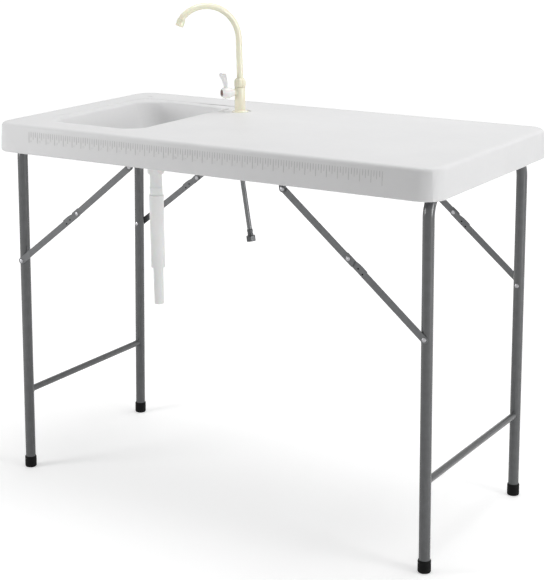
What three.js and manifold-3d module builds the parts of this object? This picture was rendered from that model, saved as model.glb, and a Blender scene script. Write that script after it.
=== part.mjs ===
// Folding fish cleaning table: a blow-moulded top with a moulded sink, a gooseneck tap,
// a telescoping drain pipe, a braided supply hose and two folding tube leg frames.
// Millimetres, +Z up. X runs along the table, -X is the sink end, -Y is the side with the ruler.
// The origin lies on the floor under the middle of the top.

import * as THREE from "three";
import { mergeVertices } from "three/addons/utils/BufferGeometryUtils.js";
import Module from "manifold-3d";

const wasm = await Module();
wasm.setup();

// Clearances and overruns shared by every sub-assembly.
const touchGap = 0.3;          // between pieces that touch
const runningGap = 0.4;        // between pieces that move past each other
const weldDistance = 0.0003;   // points closer than this are one point
const cutOverrun = 2;          // how far a cutting tool runs past a face
const plateSegments = 5;       // curve steps in cut plates
const fullTurn = Math.PI * 2;
const quarterTurn = Math.PI / 2;

// Moulded top.
const topLength = 1145;
const topWidth = 610;
const topHeight = 885;         // floor to the working surface
const skirtDepth = 68;         // working surface to the lower rim
const skirtWall = 12;          // thickness of the rim where it stands on nothing
const skirtDraft = 3;          // the rim draws in by this much from the lower edge to the top
const topCornerRadius = 48;
const topEdgeRadius = 10;
const rimEdgeRadius = 4;       // rounding of the lower rim
const panelThickness = 26.5;   // working surface to the underside
const undersideRadius = 6;     // fillet between the rim's inner face and the underside
const cornerSegments = 6;
const edgeSegments = 4;

// Sink, moulded in one piece with the top.
const sinkEndMargin = 124.5;     // sink end of the top to the sink's opening
const sinkFrontMargin = 86;     // front edge of the top to the sink's opening
const sinkLength = 236;        // along X at the working surface
const sinkWidth = 350;         // along Y at the working surface
const sinkCornerRadius = 52;
const sinkLipRadius = 9;       // rounding where the working surface turns down into the bowl
const sinkDepth = 88;          // working surface to the bowl's floor
const sinkDraft = 24;          // the walls draw in by this much down to the floor
const sinkFloorRadius = 22;    // fillet between wall and floor
const sinkWall = 3.5;
const drainRight = 9;          // drain's axis from the sink's middle, along X
const drainBack = 44;          // and along Y
const drainDishRadius = 70;    // the floor falls to the drain inside this radius
const drainDishDepth = 10;
const drainHoleRadius = 16.6;
const drainBossRadius = 21;    // moulded collar below the bowl
const drainBossDepth = 45;     // bowl's floor to the collar's lower face

// Recessed ledge along the sink's left and rear edges, which widens round the tap.
const ledgeDepth = 3;
const ledgeMargin = 17;        // width of the ledge beyond the sink's opening
const ledgeTapMargin = 27;     // width of the ledge round the tap's foot
const ledgeCornerRadius = 26;

// Overflow notch moulded in the raised rear corner of the sink end.
const notchLength = 20;
const notchWidth = 7;
const notchDepth = 4;
const notchEndMargin = 72.5;   // notch's middle to the sink end of the top
const notchRearMargin = 77;    // notch's middle to the rear edge

// Kiss-off cones moulded into the underside, which tie the two skins of the top together.
const kissRows = 3;
const kissColumns = 5;
const kissPitchY = 118;
const kissMouthRadius = 17;
const kissTipRadius = 9;
const kissDepth = 13;
const kissSinkMargin = 172;    // sink's opening to the first column
const kissEndMargin = 228.5;   // last column to the far end of the top
const kissSides = 6;

// Leg tube and crossbar tube.
const legRadius = 12.5;
const legWall = 1.2;
const legBendRadius = 52;      // on the tube's centre line
const legSides = 16;
const legBoreSides = 8;
const bendSteps = 4;
const barRadius = 7.8;
const barWall = 1;
const barHeight = 204;         // crossbar's centre line above the floor
const barSides = 12;
const barBoreSides = 6;
const splayReach = 15;         // each foot stands out this far past its pivot

// Where the two frames hang. The right frame hangs lower, so that it folds over the left one.
const leftPivotInset = 30.5;   // pivot in from the end of the top
const rightPivotInset = 44.5;
const leftLegInset = 71;       // leg's centre line in from the long edge of the top
const rightLegInset = 61;
const saddleGap = 1.2;         // thinnest part of the saddle over the left frame's tube
const rightFrameDrop = 18.5;   // how much lower the right frame's pivot lies

// Straps that hold the top tubes of the frames in their saddles.
const strapWidth = 26;
const strapThickness = 1.5;
const strapFlange = 22;
const strapHookGap = 3;        // the hooked end stops this far below the flange's top
const strapFromBend = 32;      // strap's centre from the end of the tube's bend
const strapArcSegments = 5;

// Rubber feet.
const footRadius = 14.5;
const footHeight = 29;
const footFloor = 5;           // rubber under the tube's end
const footEdge = 2;
const footSides = 16;

// Folding braces: a lower link on the leg and an upper link under the top, riveted at a knuckle.
const linkWidth = 15.6;
const linkThickness = 2;
const leftRivetDrop = 304.8;   // frame's pivot down to the rivet on the leg
const rightRivetDrop = 305;
const leftLowerLink = 225.8;   // leg rivet to knuckle
const rightLowerLink = 231.3;
const leftUpperLink = 202;     // knuckle to the pivot under the top
const rightUpperLink = 206;
const leftLowerSlope = 37.84;  // degrees from the horizontal, with the brace locked
const rightLowerSlope = 39.95;
const leftUpperSlope = 38.85;
const rightUpperSlope = 39.64;
const rivetRadius = 3;
const rivetHeadRadius = 5.2;
const rivetHeadHeight = 2.2;
const rivetCrownRadius = 3.6;  // flat middle of a rivet's head
const rivetSides = 10;
const rivetHoleGap = 0.35;     // radial clearance of the links on their rivets
const knuckleShoulderRise = 1.4;  // how far the upper link's end stands above its edge
const knuckleShoulderStart = 9;   // where that rise starts, before the knuckle
const knuckleTail = 13.8;         // reach of the upper link past the knuckle, at its upper corner
const knuckleTailSlant = 5.2;     // how much further its lower corner reaches
const knuckleTailRound = 4;       // rounding of those corners
const stopBulgeStart = 17;     // curved stop on the lower link, measured from the knuckle
const stopBulgeLength = 33;
const stopBulgeRamp = 16;      // length over which it rises
const stopBulgeRise = 2;
const stopPitRadius = 2.1;     // the two lock dimples pressed into the lower link
const stopPitDepth = 1.2;
const stopPitFirst = 29.5;     // measured from the knuckle
const stopPitPitch = 15;
const stopPitOffset = 2.2;     // the second dimple lies this far below the link's middle

// Brackets that carry the upper links.
const earThickness = 2.5;
const earWidth = 30;
const earFoot = 20;            // width of the flange under the top
const bracketScrewPitch = 16.5;
const bracketScrewReach = 11;  // ear to the line of the screws
const screwHoleRadius = 2.4;

// Tap.
const tapBeside = 49;          // sink's right edge to the tap's axis
const tapBehind = 6;           // sink's rear edge to the tap's axis
const tapHeading = 235;        // degrees, the way the valve and the spout face at rest
const tapFlangeRadius = 20;
const tapFlangeHeight = 3.4;
const tapFlangeRim = 2;        // upright part of the flange's edge
const tapFlangeEdge = 0.6;
const tapFootFillet = 3.4;
const tapBodyRadius = 13.2;
const tapBodyHeight = 62;      // ledge to the swivel seat
const tapShankRadius = 9.6;
const tapShankLength = 62;     // below the ledge
const tapHoleGap = 1.2;
const tapBoreRadius = 5.5;
const tapBoreDepth = 24;
const tapSides = 16;
const collarRadius = 14.2;
const collarHeight = 21;
const collarEdge = 1.8;
const collarCone = 5.2;        // height of the cone at the collar's top
const collarLip = 2.2;         // width of the flat round the spout
const collarFlutes = 8;
const collarFluteRadius = 3;
const collarFluteReach = 16;   // tap's axis to a flute's axis
const lockNutRadius = 17;
const lockNutHeight = 12;
const lockNutWings = 3;
const lockNutWingReach = 9;
const lockNutWingWidth = 7;
const lockNutWingDrop = 3;     // the wings stop this far below the nut's upper face
const washerRadius = 18.5;
const washerHeight = 2.4;

// Valve and lever on the side of the tap.
const valveHeight = 49.5;      // valve's axis above the ledge
const valveNeckRadius = 7.5;
const valveNeckLength = 24;    // body's axis to the hub
const hubRadius = 14.2;
const hubLength = 24;
const hubEdge = 4.5;
const hubBoreRadius = 8;
const hubBoreDepth = 4;
const spindleRadius = 4;
const spindleLength = 12;
const capThickness = 2.6;
const capEdge = 0.8;
const capSlope = 1.5;          // width of the sloping edge of the cap
const leverRise = 49;          // lever's tip above the valve's axis
const leverLean = 13;          // the tip leans out by this much
const leverTipWidth = 28;
const leverRootWidth = 13;
const leverRootThickness = 6;
const leverTipThickness = 7;
const leverTipShare = 0.8;     // share of the rise at which the tip starts to round off
const leverEndShare = 0.4;     // share of the width left at the very tip
const leverSegments = 6;
const leverCornerSegments = 3;

// Swivelling spout.
const spoutRadius = 7.8;
const spoutBoreRadius = 5.6;
const spoutLean = 1.8;         // degrees that the riser leans towards the outlet
const spoutRiser = 115;        // swivel seat to the start of the bow
const spoutBowRadius = 85;
const spoutBowEnd = 41;        // degrees past the top of the bow
const spoutTipRadius = 18;     // tighter bend that turns the outlet down
const spoutTipEnd = 68;        // degrees past the top
const spoutTipSteps = 4;
const spoutSteps = 12;
const spoutSides = 12;
const spoutBoreSides = 8;
const aeratorRadius = 9.8;
const aeratorLength = 19;
const aeratorSeat = 9;         // how far the spout's end goes into the aerator
const aeratorBoreRadius = 7;
const aeratorEdge = 0.8;

// Drain fitting and telescoping pipe below the bowl.
const drainFlangeRadius = 27;
const drainFlangeHeight = 2.4;
const drainTailRadius = 15.6;
const drainTailBore = 12.6;
const drainTailBelowBoss = 67;
const drainTailEndRadius = 14;
const drainTailEndLength = 20;
const drainNutRadius = 20.5;
const drainNutHeight = 14.7;
const drainNutSides = 12;
const drainSides = 16;
const drainEdge = 1;           // chamfer of the coupling, the sleeve and the pipe
const couplingRadius = 16.4;
const couplingHeight = 20;
const sleeveTopRadius = 18.4;
const sleeveFootRadius = 17.6;
const sleeveLength = 183;
const sleeveBore = 14.6;
const pipeRadius = 12.8;
const pipeTipRadius = 12;
const pipeWall = 1.8;
const pipeShown = 94;          // length of the inner pipe below the sleeve
const pipeHidden = 80;         // length of the inner pipe inside the sleeve
const pipeBeadHeight = 4;      // pipe's end to the bead
const pipeBeadWidth = 2;
const pipeBeadRise = 0.7;
const pipeCollarHeight = 10;
const pipeCollarSlope = 2;
const drainLean = 0.7;         // degrees that the pipe hangs out of plumb
const strainerRadius = 24;
const strainerHeight = 2;
const strainerEdge = 1;
const strainerCrown = 1;
const strainerSlots = 8;
const strainerSlotWidth = 3.2;
const strainerSlotFirst = 7;
const strainerSlotLength = 12;

// Braided supply hose, which hangs from the tap's shank.
const hoseRadius = 6;
const hoseSides = 8;
const hoseSteps = 30;
const tailNutRadius = 12;
const tailNutHeight = 13;
const tailNutWeb = 3;          // shoulder between the shank's end and the hose's exit
const tailNutSides = 12;
const ferruleRadius = 7.2;
const ferruleLength = 16;
const ferruleCrimpFirst = 4.8; // ferrule's foot to the lower edge of the crimp
const ferruleCrimpHalf = 2.4;
const ferruleCrimpDepth = 0.8;
const nippleLength = 5.6;      // ferrule's foot to the nipple's end
const hoseNutRadius = 12.4;
const hoseNutHeight = 14;
const hoseNutBore = 8;
const hoseNutSides = 6;
const hoseNutWeb = 3;          // shoulder at the top of the nut, which rests on the ferrule's foot
const nutChamfer = 1;
// Route of the hose's centre line from the tail nut, chosen by hand: offsets from the tap's axis.
const hoseRoute = [
  [0, 0, 0],
  [0, 0, -14],
  [0.2, 0, -27],
  [0.6, 0, -40],
  [1.4, 0, -55],
  [2.6, 0, -70],
  [4.3, 0, -85],
  [6.2, 0, -99],
  [8.4, 0, -115],
  [11, 0, -130],
  [13.9, 0, -147],
  [17, 0, -165],
  [19.9, 0, -182],
  [22.8, 0, -199],
  [25, 0, -212],
  [27, 0, -224],
];

// Finishes, as seen on the real table.
const whitePlastic = new THREE.MeshStandardMaterial({ color: 0xe8e8e6, roughness: 0.55, metalness: 0 });
const greyPaint = new THREE.MeshStandardMaterial({ color: 0x77797b, roughness: 0.38, metalness: 0.55 });
const linkSteel = new THREE.MeshStandardMaterial({ color: 0x6d6f71, roughness: 0.42, metalness: 0.6 });
const rivetSteel = new THREE.MeshStandardMaterial({ color: 0xd8d9da, roughness: 0.25, metalness: 0.95 });
const blackRubber = new THREE.MeshStandardMaterial({ color: 0x1b1b1c, roughness: 0.75, metalness: 0 });
const ivoryPlastic = new THREE.MeshStandardMaterial({ color: 0xf2edd2, roughness: 0.28, metalness: 0 });
const clearPlastic = new THREE.MeshStandardMaterial({ color: 0xf1f1ea, roughness: 0.22, metalness: 0 });
const brownPlastic = new THREE.MeshStandardMaterial({ color: 0x6b4a33, roughness: 0.5, metalness: 0 });
const milkyPlastic = new THREE.MeshStandardMaterial({ color: 0xe2e5e4, roughness: 0.4, metalness: 0 });
const braidSteel = new THREE.MeshStandardMaterial({ color: 0xa9abac, roughness: 0.35, metalness: 0.85 });
const chromeSteel = new THREE.MeshStandardMaterial({ color: 0xcfd1d2, roughness: 0.12, metalness: 1 });

// Places that follow from the sizes above.
const sinkCentreX = sinkEndMargin + (sinkLength - topLength) / 2;
const sinkCentreY = sinkFrontMargin + (sinkWidth - topWidth) / 2;
const drainX = sinkCentreX + drainRight;
const drainY = sinkCentreY + drainBack;
const tapX = sinkCentreX + sinkLength / 2 + tapBeside;
const tapY = sinkCentreY + sinkWidth / 2 + tapBehind;
const rimZ = topHeight - skirtDepth;
const undersideZ = topHeight - panelThickness;
const ledgeZ = topHeight - ledgeDepth;
const sinkFloorZ = topHeight - sinkDepth;
const bossZ = sinkFloorZ - drainBossDepth;
const leftPivotZ = undersideZ - saddleGap - touchGap - legRadius;
const rightPivotZ = leftPivotZ - rightFrameDrop;

const radians = (degrees) => (degrees * Math.PI) / 180;

// Each leg frame with what hangs on it; side is -1 for the sink end and +1 for the other.
const frames = [
  {
    name: "left",
    side: -1,
    pivotX: topLength / 2 - leftPivotInset,
    pivotZ: leftPivotZ,
    spread: topWidth / 2 - leftLegInset,
    rivetZ: leftPivotZ - leftRivetDrop,
    lower: leftLowerLink,
    upper: leftUpperLink,
    lowerSlope: radians(leftLowerSlope),
    upperSlope: radians(leftUpperSlope),
  },
  {
    name: "right",
    side: 1,
    pivotX: topLength / 2 - rightPivotInset,
    pivotZ: rightPivotZ,
    spread: topWidth / 2 - rightLegInset,
    rivetZ: rightPivotZ - rightRivetDrop,
    lower: rightLowerLink,
    upper: rightUpperLink,
    lowerSlope: radians(rightLowerSlope),
    upperSlope: radians(rightUpperSlope),
  },
];

// Turns a geometry into a manifold solid, keeping only its positions.
function solid(geometry) {
  const bare = geometry.index ? geometry.toNonIndexed() : geometry.clone();
  bare.deleteAttribute("normal");
  bare.deleteAttribute("uv");
  const merged = mergeVertices(bare, weldDistance);
  const triVerts = new Uint32Array(merged.index.array);
  const vertProperties = new Float32Array(merged.attributes.position.array);
  if (signedVolume(vertProperties, triVerts) < 0) {
    for (let i = 0; i < triVerts.length; i += 3) {
      [triVerts[i], triVerts[i + 1]] = [triVerts[i + 1], triVerts[i]];
    }
  }
  return new wasm.Manifold(new wasm.Mesh({ numProp: 3, vertProperties, triVerts }));
}

// Volume inside a closed triangle mesh; it is negative when the faces point inwards.
function signedVolume(points, triangles) {
  const [a, b, c] = [new THREE.Vector3(), new THREE.Vector3(), new THREE.Vector3()];
  let sum = 0;
  for (let i = 0; i < triangles.length; i += 3) {
    a.fromArray(points, triangles[i] * 3);
    b.fromArray(points, triangles[i + 1] * 3);
    c.fromArray(points, triangles[i + 2] * 3);
    sum += a.dot(b.cross(c));
  }
  return sum / 6;
}

// Turns a manifold solid back into a three.js geometry.
function geometryOf(body) {
  const mesh = body.getMesh();
  const geometry = new THREE.BufferGeometry();
  geometry.setAttribute("position", new THREE.BufferAttribute(new Float32Array(mesh.vertProperties), 3));
  geometry.setIndex(new THREE.BufferAttribute(new Uint32Array(mesh.triVerts), 1));
  geometry.computeVertexNormals();
  return geometry;
}

// Joins the first geometry with the others.
function join(...geometries) {
  return geometryOf(geometries.map(solid).reduce((sum, body) => sum.add(body)));
}

// Cuts the tools out of a geometry.
function cut(geometry, ...tools) {
  return geometryOf(tools.map(solid).reduce((rest, tool) => rest.subtract(tool), solid(geometry)));
}

// Puts a geometry into a named mesh.
function piece(name, geometry, material) {
  const mesh = new THREE.Mesh(geometry, material);
  mesh.name = name;
  return mesh;
}

// Cylinder along Z from z0 to z1.
function rod(radius, z0, z1, sides, x = 0, y = 0) {
  return new THREE.CylinderGeometry(radius, radius, z1 - z0, sides)
    .rotateX(quarterTurn)
    .translate(x, y, (z0 + z1) / 2);
}

// Cylinder along Y from y0 to y1.
function crossRod(radius, y0, y1, sides, x = 0, z = 0) {
  return new THREE.CylinderGeometry(radius, radius, Math.abs(y1 - y0), sides)
    .translate(x, (y0 + y1) / 2, z);
}

// Box between two corners.
function block(x0, x1, y0, y1, z0, z1) {
  return new THREE.BoxGeometry(x1 - x0, y1 - y0, z1 - z0)
    .translate((x0 + x1) / 2, (y0 + y1) / 2, (z0 + z1) / 2);
}

// Revolves a closed or axis-to-axis profile of [radius, height] pairs round Z.
function turned(profile, sides) {
  const points = profile.map(([radius, height]) => new THREE.Vector2(radius, height));
  return new THREE.LatheGeometry(points, sides).rotateX(quarterTurn);
}

// A hollow turned piece: outer and inner wall profiles run from bottom to top.
function turnedShell(outer, inner, sides) {
  return turned([...outer, ...inner.slice().reverse(), outer[0]], sides);
}

// Many-sided nut with chamfered corners; each bore is [radius, from height, to height].
function nut(radius, chamfer, z0, z1, sides, bores) {
  const body = turned(
    [
      [0, z0],
      [radius - chamfer, z0],
      [radius, z0 + chamfer],
      [radius, z1 - chamfer],
      [radius - chamfer, z1],
      [0, z1],
    ],
    sides,
  );
  return cut(body, ...bores.map(([bore, from, to]) => rod(bore, from, to, tapSides)));
}

// One horizontal ring of a rounded rectangle, counter-clockwise seen from above.
function ring(x, y, halfX, halfY, radius, z, segments = cornerSegments) {
  const points = [];
  const r = Math.min(radius, halfX, halfY);
  const corners = [[1, 1], [-1, 1], [-1, -1], [1, -1]];
  corners.forEach(([sx, sy], quarter) => {
    for (let i = 0; i <= segments; i += 1) {
      const angle = (quarter + i / segments) * quarterTurn;
      points.push(new THREE.Vector3(
        x + sx * (halfX - r) + r * Math.cos(angle),
        y + sy * (halfY - r) + r * Math.sin(angle),
        z,
      ));
    }
  });
  return points;
}

// Closed solid through a stack of rings with equal counts, capped flat at both ends.
function loft(rings) {
  const count = rings[0].length;
  const positions = rings.flatMap((points) => points.flatMap((p) => [p.x, p.y, p.z]));
  const index = [];
  for (let level = 0; level + 1 < rings.length; level += 1) {
    for (let i = 0; i < count; i += 1) {
      const next = (i + 1) % count;
      const [a, b] = [level * count + i, level * count + next];
      index.push(a, b, b + count, a, b + count, a + count);
    }
  }
  const last = (rings.length - 1) * count;
  for (let i = 1; i + 1 < count; i += 1) {
    index.push(0, i + 1, i, last, last + i, last + i + 1);
  }
  const geometry = new THREE.BufferGeometry();
  geometry.setAttribute("position", new THREE.Float32BufferAttribute(positions, 3));
  geometry.setIndex(index);
  return geometry;
}

// Curve through given stations, so that a sweep gets its sections exactly there.
class StationPath extends THREE.Curve {
  constructor(stations) {
    super();
    this.stations = stations;
  }

  getPoint(t) {
    const place = t * (this.stations.length - 1);
    const low = Math.min(Math.floor(place), this.stations.length - 2);
    return this.stations[low].clone().lerp(this.stations[low + 1], place - low);
  }

  getPointAt(u) {
    return this.getPoint(u);
  }

  getTangentAt(u) {
    const last = this.stations.length - 1;
    const middle = Math.round(u * last);
    const before = this.stations[Math.max(middle - 1, 0)];
    const after = this.stations[Math.min(middle + 1, last)];
    return after.clone().sub(before).normalize();
  }
}

// Round section for sweeps, with a bore if one is given.
function roundSection(radius, sides, bore = 0, boreSides = sides) {
  const outline = (r, count) => Array.from({ length: count }, (_, i) => new THREE.Vector2(
    r * Math.cos((i * fullTurn) / count),
    r * Math.sin((i * fullTurn) / count),
  ));
  const section = new THREE.Shape(outline(radius, sides));
  if (bore > 0) {
    section.holes.push(new THREE.Path(outline(bore, boreSides)));
  }
  return section;
}

// Tube swept through stations.
function tube(stations, radius, sides, bore, boreSides) {
  return new THREE.ExtrudeGeometry(roundSection(radius, sides, bore, boreSides), {
    steps: stations.length - 1,
    extrudePath: new StationPath(stations),
    bevelEnabled: false,
  });
}

// Points of an arc of a circle about a centre, from one angle to another.
function arc(centre, radius, from, to, steps, place) {
  return Array.from({ length: steps + 1 }, (_, i) => {
    const angle = from + ((to - from) * i) / steps;
    return place(centre[0] + radius * Math.cos(angle), centre[1] + radius * Math.sin(angle));
  });
}

// Plate cut from an outline in the XZ plane, with its faces at y0 and y1.
function plate(shape, y0, y1, segments = plateSegments) {
  const geometry = new THREE.ExtrudeGeometry(shape, {
    depth: Math.abs(y1 - y0),
    steps: 1,
    bevelEnabled: false,
    curveSegments: segments,
  });
  return geometry.rotateX(quarterTurn).translate(0, Math.max(y0, y1), 0);
}

// Rings of the moulded top's outside, from the lower rim to the rounded upper edge.
function topOutside() {
  const [halfX, halfY] = [topLength / 2, topWidth / 2];
  const rings = [];
  for (let i = 0; i <= edgeSegments; i += 1) {
    const angle = (i / edgeSegments) * quarterTurn;
    const inset = rimEdgeRadius * (1 - Math.sin(angle));
    const z = rimZ + rimEdgeRadius * (1 - Math.cos(angle));
    rings.push(ring(0, 0, halfX - inset, halfY - inset, topCornerRadius - inset, z));
  }
  for (let i = 0; i <= edgeSegments; i += 1) {
    const angle = (i / edgeSegments) * quarterTurn;
    const inset = skirtDraft + topEdgeRadius * (1 - Math.cos(angle));
    const z = topHeight - topEdgeRadius * (1 - Math.sin(angle));
    rings.push(ring(0, 0, halfX - inset, halfY - inset, topCornerRadius - inset, z));
  }
  return loft(rings);
}

// The hollow under the top, from below the rim up to the underside.
function topHollow() {
  const [halfX, halfY] = [topLength / 2, topWidth / 2];
  const rings = [];
  for (const z of [rimZ - cutOverrun, undersideZ - undersideRadius]) {
    rings.push(ring(0, 0, halfX - skirtWall, halfY - skirtWall, topCornerRadius - skirtWall, z));
  }
  for (let i = 1; i <= edgeSegments; i += 1) {
    const angle = (i / edgeSegments) * quarterTurn;
    const inset = skirtWall + undersideRadius * (1 - Math.cos(angle));
    const z = undersideZ - undersideRadius * (1 - Math.sin(angle));
    rings.push(ring(0, 0, halfX - inset, halfY - inset, topCornerRadius - inset, z));
  }
  return loft(rings);
}

// Bowl of the sink grown outwards by a wall: zero gives the hollow, sinkWall its outside.
function bowl(wall, topZ) {
  const [halfX, halfY] = [sinkLength / 2 + wall, sinkWidth / 2 + wall];
  const floorZ = sinkFloorZ - wall;
  const bendZ = floorZ + sinkFloorRadius;
  const rings = [];
  for (let i = 0; i <= edgeSegments; i += 1) {
    const angle = (i / edgeSegments) * quarterTurn;
    const inset = sinkDraft + sinkFloorRadius * (1 - Math.sin(angle));
    const z = bendZ - sinkFloorRadius * Math.cos(angle);
    rings.push(ring(sinkCentreX, sinkCentreY, halfX - inset, halfY - inset, sinkCornerRadius, z));
  }
  const lipInset = sinkLipRadius;
  if (wall > 0) {
    rings.push(ring(sinkCentreX, sinkCentreY, halfX - lipInset, halfY - lipInset, sinkCornerRadius, topZ));
    return loft(rings);
  }
  for (let i = 0; i <= edgeSegments; i += 1) {
    const angle = (i / edgeSegments) * quarterTurn;
    const inset = sinkLipRadius * Math.cos(angle);
    const z = topHeight - sinkLipRadius * (1 - Math.sin(angle));
    rings.push(ring(sinkCentreX, sinkCentreY, halfX - inset, halfY - inset, sinkCornerRadius, z));
  }
  rings.push(ring(sinkCentreX, sinkCentreY, halfX, halfY, sinkCornerRadius, topZ));
  return loft(rings);
}

// Recess that runs along the sink's left and rear edges and round the tap's foot.
function ledgeCut() {
  const left = sinkCentreX - sinkLength / 2 - ledgeMargin;
  const right = tapX + ledgeTapMargin;
  const back = tapY + ledgeTapMargin;
  const front = sinkCentreY - sinkWidth / 2 + sinkCornerRadius;
  const tapFront = tapY - ledgeTapMargin;
  const sinkInside = sinkCentreX + sinkLength / 2 - sinkCornerRadius;
  const r = ledgeCornerRadius;
  const outline = new THREE.Shape();
  outline.moveTo(left, front);
  outline.lineTo(sinkCentreX, front);
  outline.lineTo(sinkCentreX, sinkCentreY);
  outline.lineTo(sinkInside, tapFront);
  outline.lineTo(right - r, tapFront);
  outline.absarc(right - r, tapFront + r, r, -quarterTurn, 0, false);
  outline.absarc(right - r, back - r, r, 0, quarterTurn, false);
  outline.absarc(left + 2 * r, back - 2 * r, 2 * r, quarterTurn, Math.PI, false);
  outline.closePath();
  return new THREE.ExtrudeGeometry(outline, {
    depth: ledgeDepth + cutOverrun,
    steps: 1,
    bevelEnabled: false,
    curveSegments: cornerSegments,
  }).translate(0, 0, ledgeZ);
}

// Slot with round ends, cut from the working surface.
function notchCut() {
  const half = (notchLength - notchWidth) / 2;
  const r = notchWidth / 2;
  const outline = new THREE.Shape();
  outline.absarc(half, 0, r, -quarterTurn, quarterTurn, false);
  outline.absarc(-half, 0, r, quarterTurn, quarterTurn * 3, false);
  outline.closePath();
  return new THREE.ExtrudeGeometry(outline, {
    depth: notchDepth + cutOverrun,
    steps: 1,
    bevelEnabled: false,
    curveSegments: edgeSegments,
  }).translate(notchEndMargin - topLength / 2, topWidth / 2 - notchRearMargin, topHeight - notchDepth);
}

// Cones of the kiss-off pattern, cut from the underside.
function kissCuts() {
  const cones = [];
  const firstX = sinkCentreX + sinkLength / 2 + kissSinkMargin;
  const pitchX = (topLength / 2 - kissEndMargin - firstX) / (kissColumns - 1);
  for (let column = 0; column < kissColumns; column += 1) {
    for (let row = 0; row < kissRows; row += 1) {
      const cone = new THREE.CylinderGeometry(kissTipRadius, kissMouthRadius, kissDepth, kissSides)
        .rotateX(quarterTurn);
      const x = firstX + column * pitchX;
      const y = (row - (kissRows - 1) / 2) * kissPitchY;
      cones.push(cone.translate(x, y, undersideZ + kissDepth / 2));
    }
  }
  return cones;
}

// Distance of a frame's straps from the middle of the table.
function strapSpread(frame) {
  return frame.spread - legBendRadius - strapFromBend;
}

// Saddle blocks under the top, in which a frame's top tube turns.
function saddles(frame) {
  const half = legRadius - touchGap;
  const x = frame.side * frame.pivotX;
  const groove = legRadius + touchGap;
  const reach = Math.sqrt(groove * groove - half * half);
  return [-1, 1].map((end) => {
    const y = end * strapSpread(frame);
    const body = block(
      x - half,
      x + half,
      y - strapWidth / 2,
      y + strapWidth / 2,
      frame.pivotZ + reach / 2,
      undersideZ + cutOverrun,
    );
    const tool = crossRod(groove, y - strapWidth, y + strapWidth, legSides * 2, x, frame.pivotZ);
    return cut(body, tool);
  });
}

// The whole moulded top: rim, panel, sink, drain collar, saddles and cut-outs.
function tableTop() {
  const shell = cut(topOutside(), topHollow());
  const collar = rod(drainBossRadius, bossZ, sinkFloorZ, drainSides, drainX, drainY);
  const dish = (wall) => new THREE.CylinderGeometry(
    drainDishRadius + wall,
    drainHoleRadius + wall,
    drainDishDepth,
    drainSides,
  ).rotateX(quarterTurn).translate(drainX, drainY, sinkFloorZ - wall - drainDishDepth / 2);
  const outside = join(
    shell,
    bowl(sinkWall, undersideZ + cutOverrun),
    dish(sinkWall),
    collar,
    ...frames.flatMap(saddles),
  );
  const bossHole = rod(
    drainHoleRadius,
    bossZ - cutOverrun,
    sinkFloorZ,
    drainSides,
    drainX,
    drainY,
  );
  const tapHole = rod(
    tapShankRadius + tapHoleGap,
    undersideZ - cutOverrun,
    topHeight + cutOverrun,
    tapSides,
    tapX,
    tapY,
  );
  const carved = cut(
    outside,
    bowl(0, topHeight + cutOverrun),
    dish(0),
    bossHole,
    tapHole,
    ledgeCut(),
    notchCut(),
    ...kissCuts(),
  );
  return piece("table_top", carved, whitePlastic);
}

// Centre line of a leg frame in its own axes: pivot at the origin, legs along -Z.
function frameStations(frame) {
  const legEnd = -legLength(frame);
  const r = legBendRadius;
  const side = (end) => {
    const centre = [end * (frame.spread - r), -r];
    const place = (y, z) => new THREE.Vector3(0, y, z);
    const from = end > 0 ? quarterTurn : Math.PI;
    const to = end > 0 ? 0 : quarterTurn;
    return arc(centre, r, from, to, bendSteps, place);
  };
  return [
    new THREE.Vector3(0, -frame.spread, legEnd),
    ...side(-1),
    ...side(1),
    new THREE.Vector3(0, frame.spread, legEnd),
  ];
}

// Angle by which a frame leans outwards from its pivot to its feet.
function splay(frame) {
  return Math.asin(splayReach / frame.pivotZ);
}

// Length of tube from the pivot's height to the open end inside the foot.
function legLength(frame) {
  return (frame.pivotZ - footFloor) / Math.cos(splay(frame));
}

// Distance down the leg, from the pivot, of a height above the floor.
function downLeg(frame, height) {
  return (frame.pivotZ - height) / Math.cos(splay(frame));
}

// Bent tube that forms two legs and the top tube that turns in the saddles.
function legTube(frame) {
  const outer = tube(frameStations(frame), legRadius, legSides, legRadius - legWall, legBoreSides);
  const holes = [-1, 1].map((end) => crossRod(
    rivetRadius + touchGap,
    end * (frame.spread - legRadius - cutOverrun),
    end * (frame.spread + legRadius + cutOverrun),
    rivetSides,
    0,
    -downLeg(frame, frame.rivetZ),
  ));
  return piece(`${frame.name}_leg_frame`, cut(outer, ...holes), greyPaint);
}

// Crossbar between the two legs, its ends coped to fit the leg tubes.
function crossbar(frame) {
  const z = -downLeg(frame, barHeight);
  const half = frame.spread;
  const stations = [new THREE.Vector3(0, -half, z), new THREE.Vector3(0, half, z)];
  const bar = tube(stations, barRadius, barSides, barRadius - barWall, barBoreSides);
  const copes = [-1, 1].map((end) => rod(
    legRadius + touchGap,
    z - barRadius * 2,
    z + barRadius * 2,
    legSides * 2,
    0,
    end * frame.spread,
  ));
  return piece(`${frame.name}_crossbar`, cut(bar, ...copes), greyPaint);
}

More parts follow.
